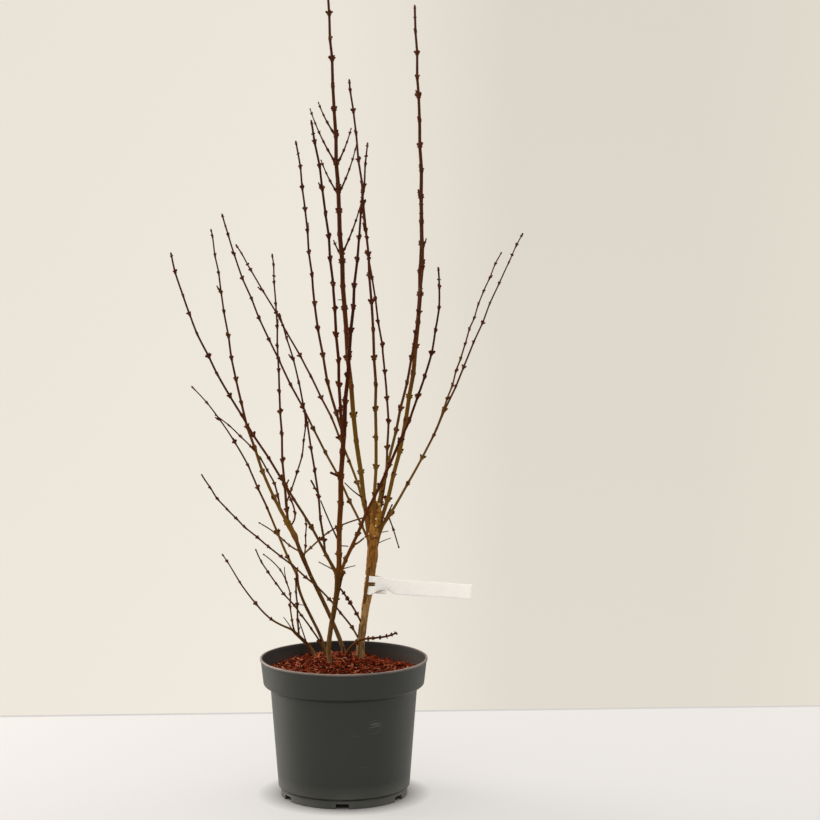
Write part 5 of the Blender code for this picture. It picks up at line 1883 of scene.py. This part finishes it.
@dataclass
class Studio:
    """Camera, floor and soft light; none of it is part of the plant. The floor is one plain colour
    and glows with painted light, which stops short of the pot to leave a painted shadow round it.
    """

    place: Triple = (0.098, -3.34, 0.90)
    tilt: float = 84.4  # degrees from straight down
    focal: float = 2290 / 820 * 36  # mm on a 36 mm sensor
    floor_sides: Pair = (-1.6, 1.8)
    floor_front: float = -2.2
    floor_back: Pair = (0.43, 0.62)  # where it ends, at its left and right sides
    floor_step: float = 0.0026  # height of the joint at the wall
    floor_colour: str = "838180"
    # colour of the painted light that the floor gives off
    floor_light: str = "fbf7f2"
    sky_colour: str = "f6f5f2"
    floor_glow: float = 0.47  # strength of the painted light that the floor gives off itself, which lightens the shadows on it
    floor_dark: Pair = (0.086, 0.130)  # painted shadow round the pot: no glow within the first distance from its axis, full glow from the second
    # tones of the wall that the camera sees: painted light at the left, painted shade to the right
    wall: tuple[tuple[float, str], ...] = (
        (0.0, "ebe5d9"), (0.38, "ede7dc"), (0.5, "e8e1d6"), (0.62, "ded8cc"), (0.85, "ded8cc"),
        (1.0, "e2dccf"))
    wall_reach: float = 0.18  # sideways share of the view where the wall's painted light and shade end
    wall_painted_falloff: Four = (-0.22, 0.10, 1.03, 0.98)  # painted falloff of the wall's light, brighter low down: heights, strengths
    bright_side: Triple = (-0.28, -0.64, 0.72)
    sky_levels: Pair = (0.30, 1.15)  # away from the bright side, and towards it
    lights: tuple[tuple, ...] = (  # name, place, height of its target, side, watts and tint
        ("key", (-0.8, -1.8, 3.0), 0.5, 4.2, 30, (1.0, 1.0, 1.0)),
        ("top", (0.0, 1.1, 2.7), 0.3, 3.0, 26, (1.0, 1.0, 1.0)),
        ("edge", (-2.2, 1.0, 0.9), 0.2, 1.6, 84, (1.0, 0.94, 0.86)),
        ("rim", (2.2, 1.0, 1.0), 0.2, 1.6, 26, (1.0, 0.95, 0.88)))

    def build(self) -> None:
        """Make the camera, the floor, the world and the lights."""
        scene = bpy.context.scene
        lens = bpy.data.cameras.new("camera")
        lens.lens, lens.sensor_width = self.focal, 36
        camera = bpy.data.objects.new("camera", lens)
        camera.location = self.place
        camera.rotation_euler = (math.radians(self.tilt), 0, 0)
        scene.collection.objects.link(camera)
        scene.camera = camera
        scene.view_settings.view_transform = "Standard"
        self.build_floor()
        self.build_world()
        for light in self.lights:
            self.add_light(*light)

    def build_floor(self) -> None:
        """A matt white board that glows with painted light, less round the pot, and the step where
        it meets the wall.
        """
        mesh = bpy.data.meshes.new("floor")
        (west, east), front, step = self.floor_sides, self.floor_front, self.floor_step
        left, right = self.floor_back
        corners = [(west, front, 0), (east, front, 0), (east, right, 0), (west, left, 0),
                   (east, right, step), (west, left, step)]
        mesh.from_pydata(corners, [], [(0, 1, 2, 3), (3, 2, 4, 5)])
        floor = bpy.data.objects.new("floor", mesh)
        bpy.context.scene.collection.objects.link(floor)
        material, add = new_material("glowing_floor_board")
        # painted light: the floor glows, fading out near the pot's axis into a painted shadow
        away = add("VectorMath", {"operation": "LENGTH"}, {0: add("TexCoord").outputs["Object"]})
        glow = add("MapRange", {"From Min": self.floor_dark[0], "From Max": self.floor_dark[1],
                                "To Max": self.floor_glow}, {"Value": away})
        shader = add("BsdfPrincipled", {
            "Base Color": linear(self.floor_colour), "Roughness": 0.6, "Specular IOR Level": 0.1,
            "Emission Color": linear(self.floor_light)}, {"Emission Strength": glow})
        add("OutputMaterial", links={0: shader})
        mesh.materials.append(material)

    def build_world(self) -> None:
        """Soft white light, stronger from above and the left; the camera sees a warm wall with
        light and shade painted on it.
        """
        world = bpy.data.worlds.new("studio")
        bpy.context.scene.world = world
        world.use_nodes = True
        world.node_tree.nodes.clear()
        add = partial(add_node, world.node_tree)
        heading = add("TexCoord").outputs["Generated"]
        parts = add("SeparateXYZ", links={0: heading})
        # the wall's painted light and shade, across and up
        across = add("MapRange", {"From Min": -self.wall_reach, "From Max": self.wall_reach},
                     {"Value": parts.outputs["X"]})
        tone = add("ValToRGB", {"stops": self.wall}, {"Fac": across})
        low, high, first, last = self.wall_painted_falloff
        fall = add("MapRange", {"From Min": low, "From Max": high, "To Min": first, "To Max": last},
                   {"Value": parts.outputs["Z"]})
        wall = add("Background", links={"Color": tone, "Strength": fall})
        towards = add("VectorMath", {"operation": "DOT_PRODUCT", 1: self.bright_side}, {0: heading})
        level = add("MapRange", {"From Min": -1.0, "To Min": self.sky_levels[0],
                                 "To Max": self.sky_levels[1]}, {"Value": towards})
        sky = add("Background", {"Color": linear(self.sky_colour)}, {"Strength": level})
        seen = add("LightPath").outputs["Is Camera Ray"]
        either = add("MixShader", links={0: seen, 1: sky, 2: wall})
        add("OutputWorld", links={0: either})

    def add_light(self, name: str, place: Triple, target: float, size: float,
                  power: float, colour: Triple) -> None:
        """A soft square light that points at the pot's axis.

        Args:
            name: Name of the light.
            place: Where it stands.
            target: Height of the point that it faces.
            size: Length of its side.
            power: Watts.
            colour: Its tint.
        """
        data = bpy.data.lights.new(name, "AREA")
        data.size, data.energy, data.color = size, power, colour
        light = bpy.data.objects.new(name, data)
        back = unit(np.array(place) - (0, 0, target))
        light.location = place
        light.rotation_euler = (math.acos(back[2]), 0, math.atan2(back[0], -back[1]))
        bpy.context.scene.collection.objects.link(light)


def limb_paths() -> dict[str, LimbPath]:
    """Place every limb on its carrier, and note on the carrier where it forks off."""
    paths: dict[str, LimbPath] = {}
    for index, limb in enumerate(LIMBS):
        carrier = paths.get(limb.carrier)
        paths[limb.name] = LimbPath(limb, index, carrier)
        if carrier and not carrier.limb.is_stem:
            carrier.forks.append(limb.share)
        elif carrier and limb.share < 1 and not any(limb.seat):
            carrier.ridges.append(paths[limb.name])
    return paths


def corners(box: tuple) -> list[list[float]]:
    """A box as plain lists of numbers."""
    return [[float(value) for value in corner] for corner in box]


def main() -> None:
    """Build the studio and every piece, and log the triangles of each."""
    logging.basicConfig(level=logging.INFO, format="%(message)s")
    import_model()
    Studio().build()
    paths = limb_paths()
    bark = BarkBuilder(paths)
    bark.build()
    ends = TwiggyEnds(paths, bark)
    ends.build()
    Buds(paths, bark, ends.side_twigs).build()
    Snags(paths).build()
    pot = NurseryPot()
    pot.build()
    BarkMulch(pot).build()
    StemTag(paths["stem_right"]).build()


if __name__ == "__main__":
    main()
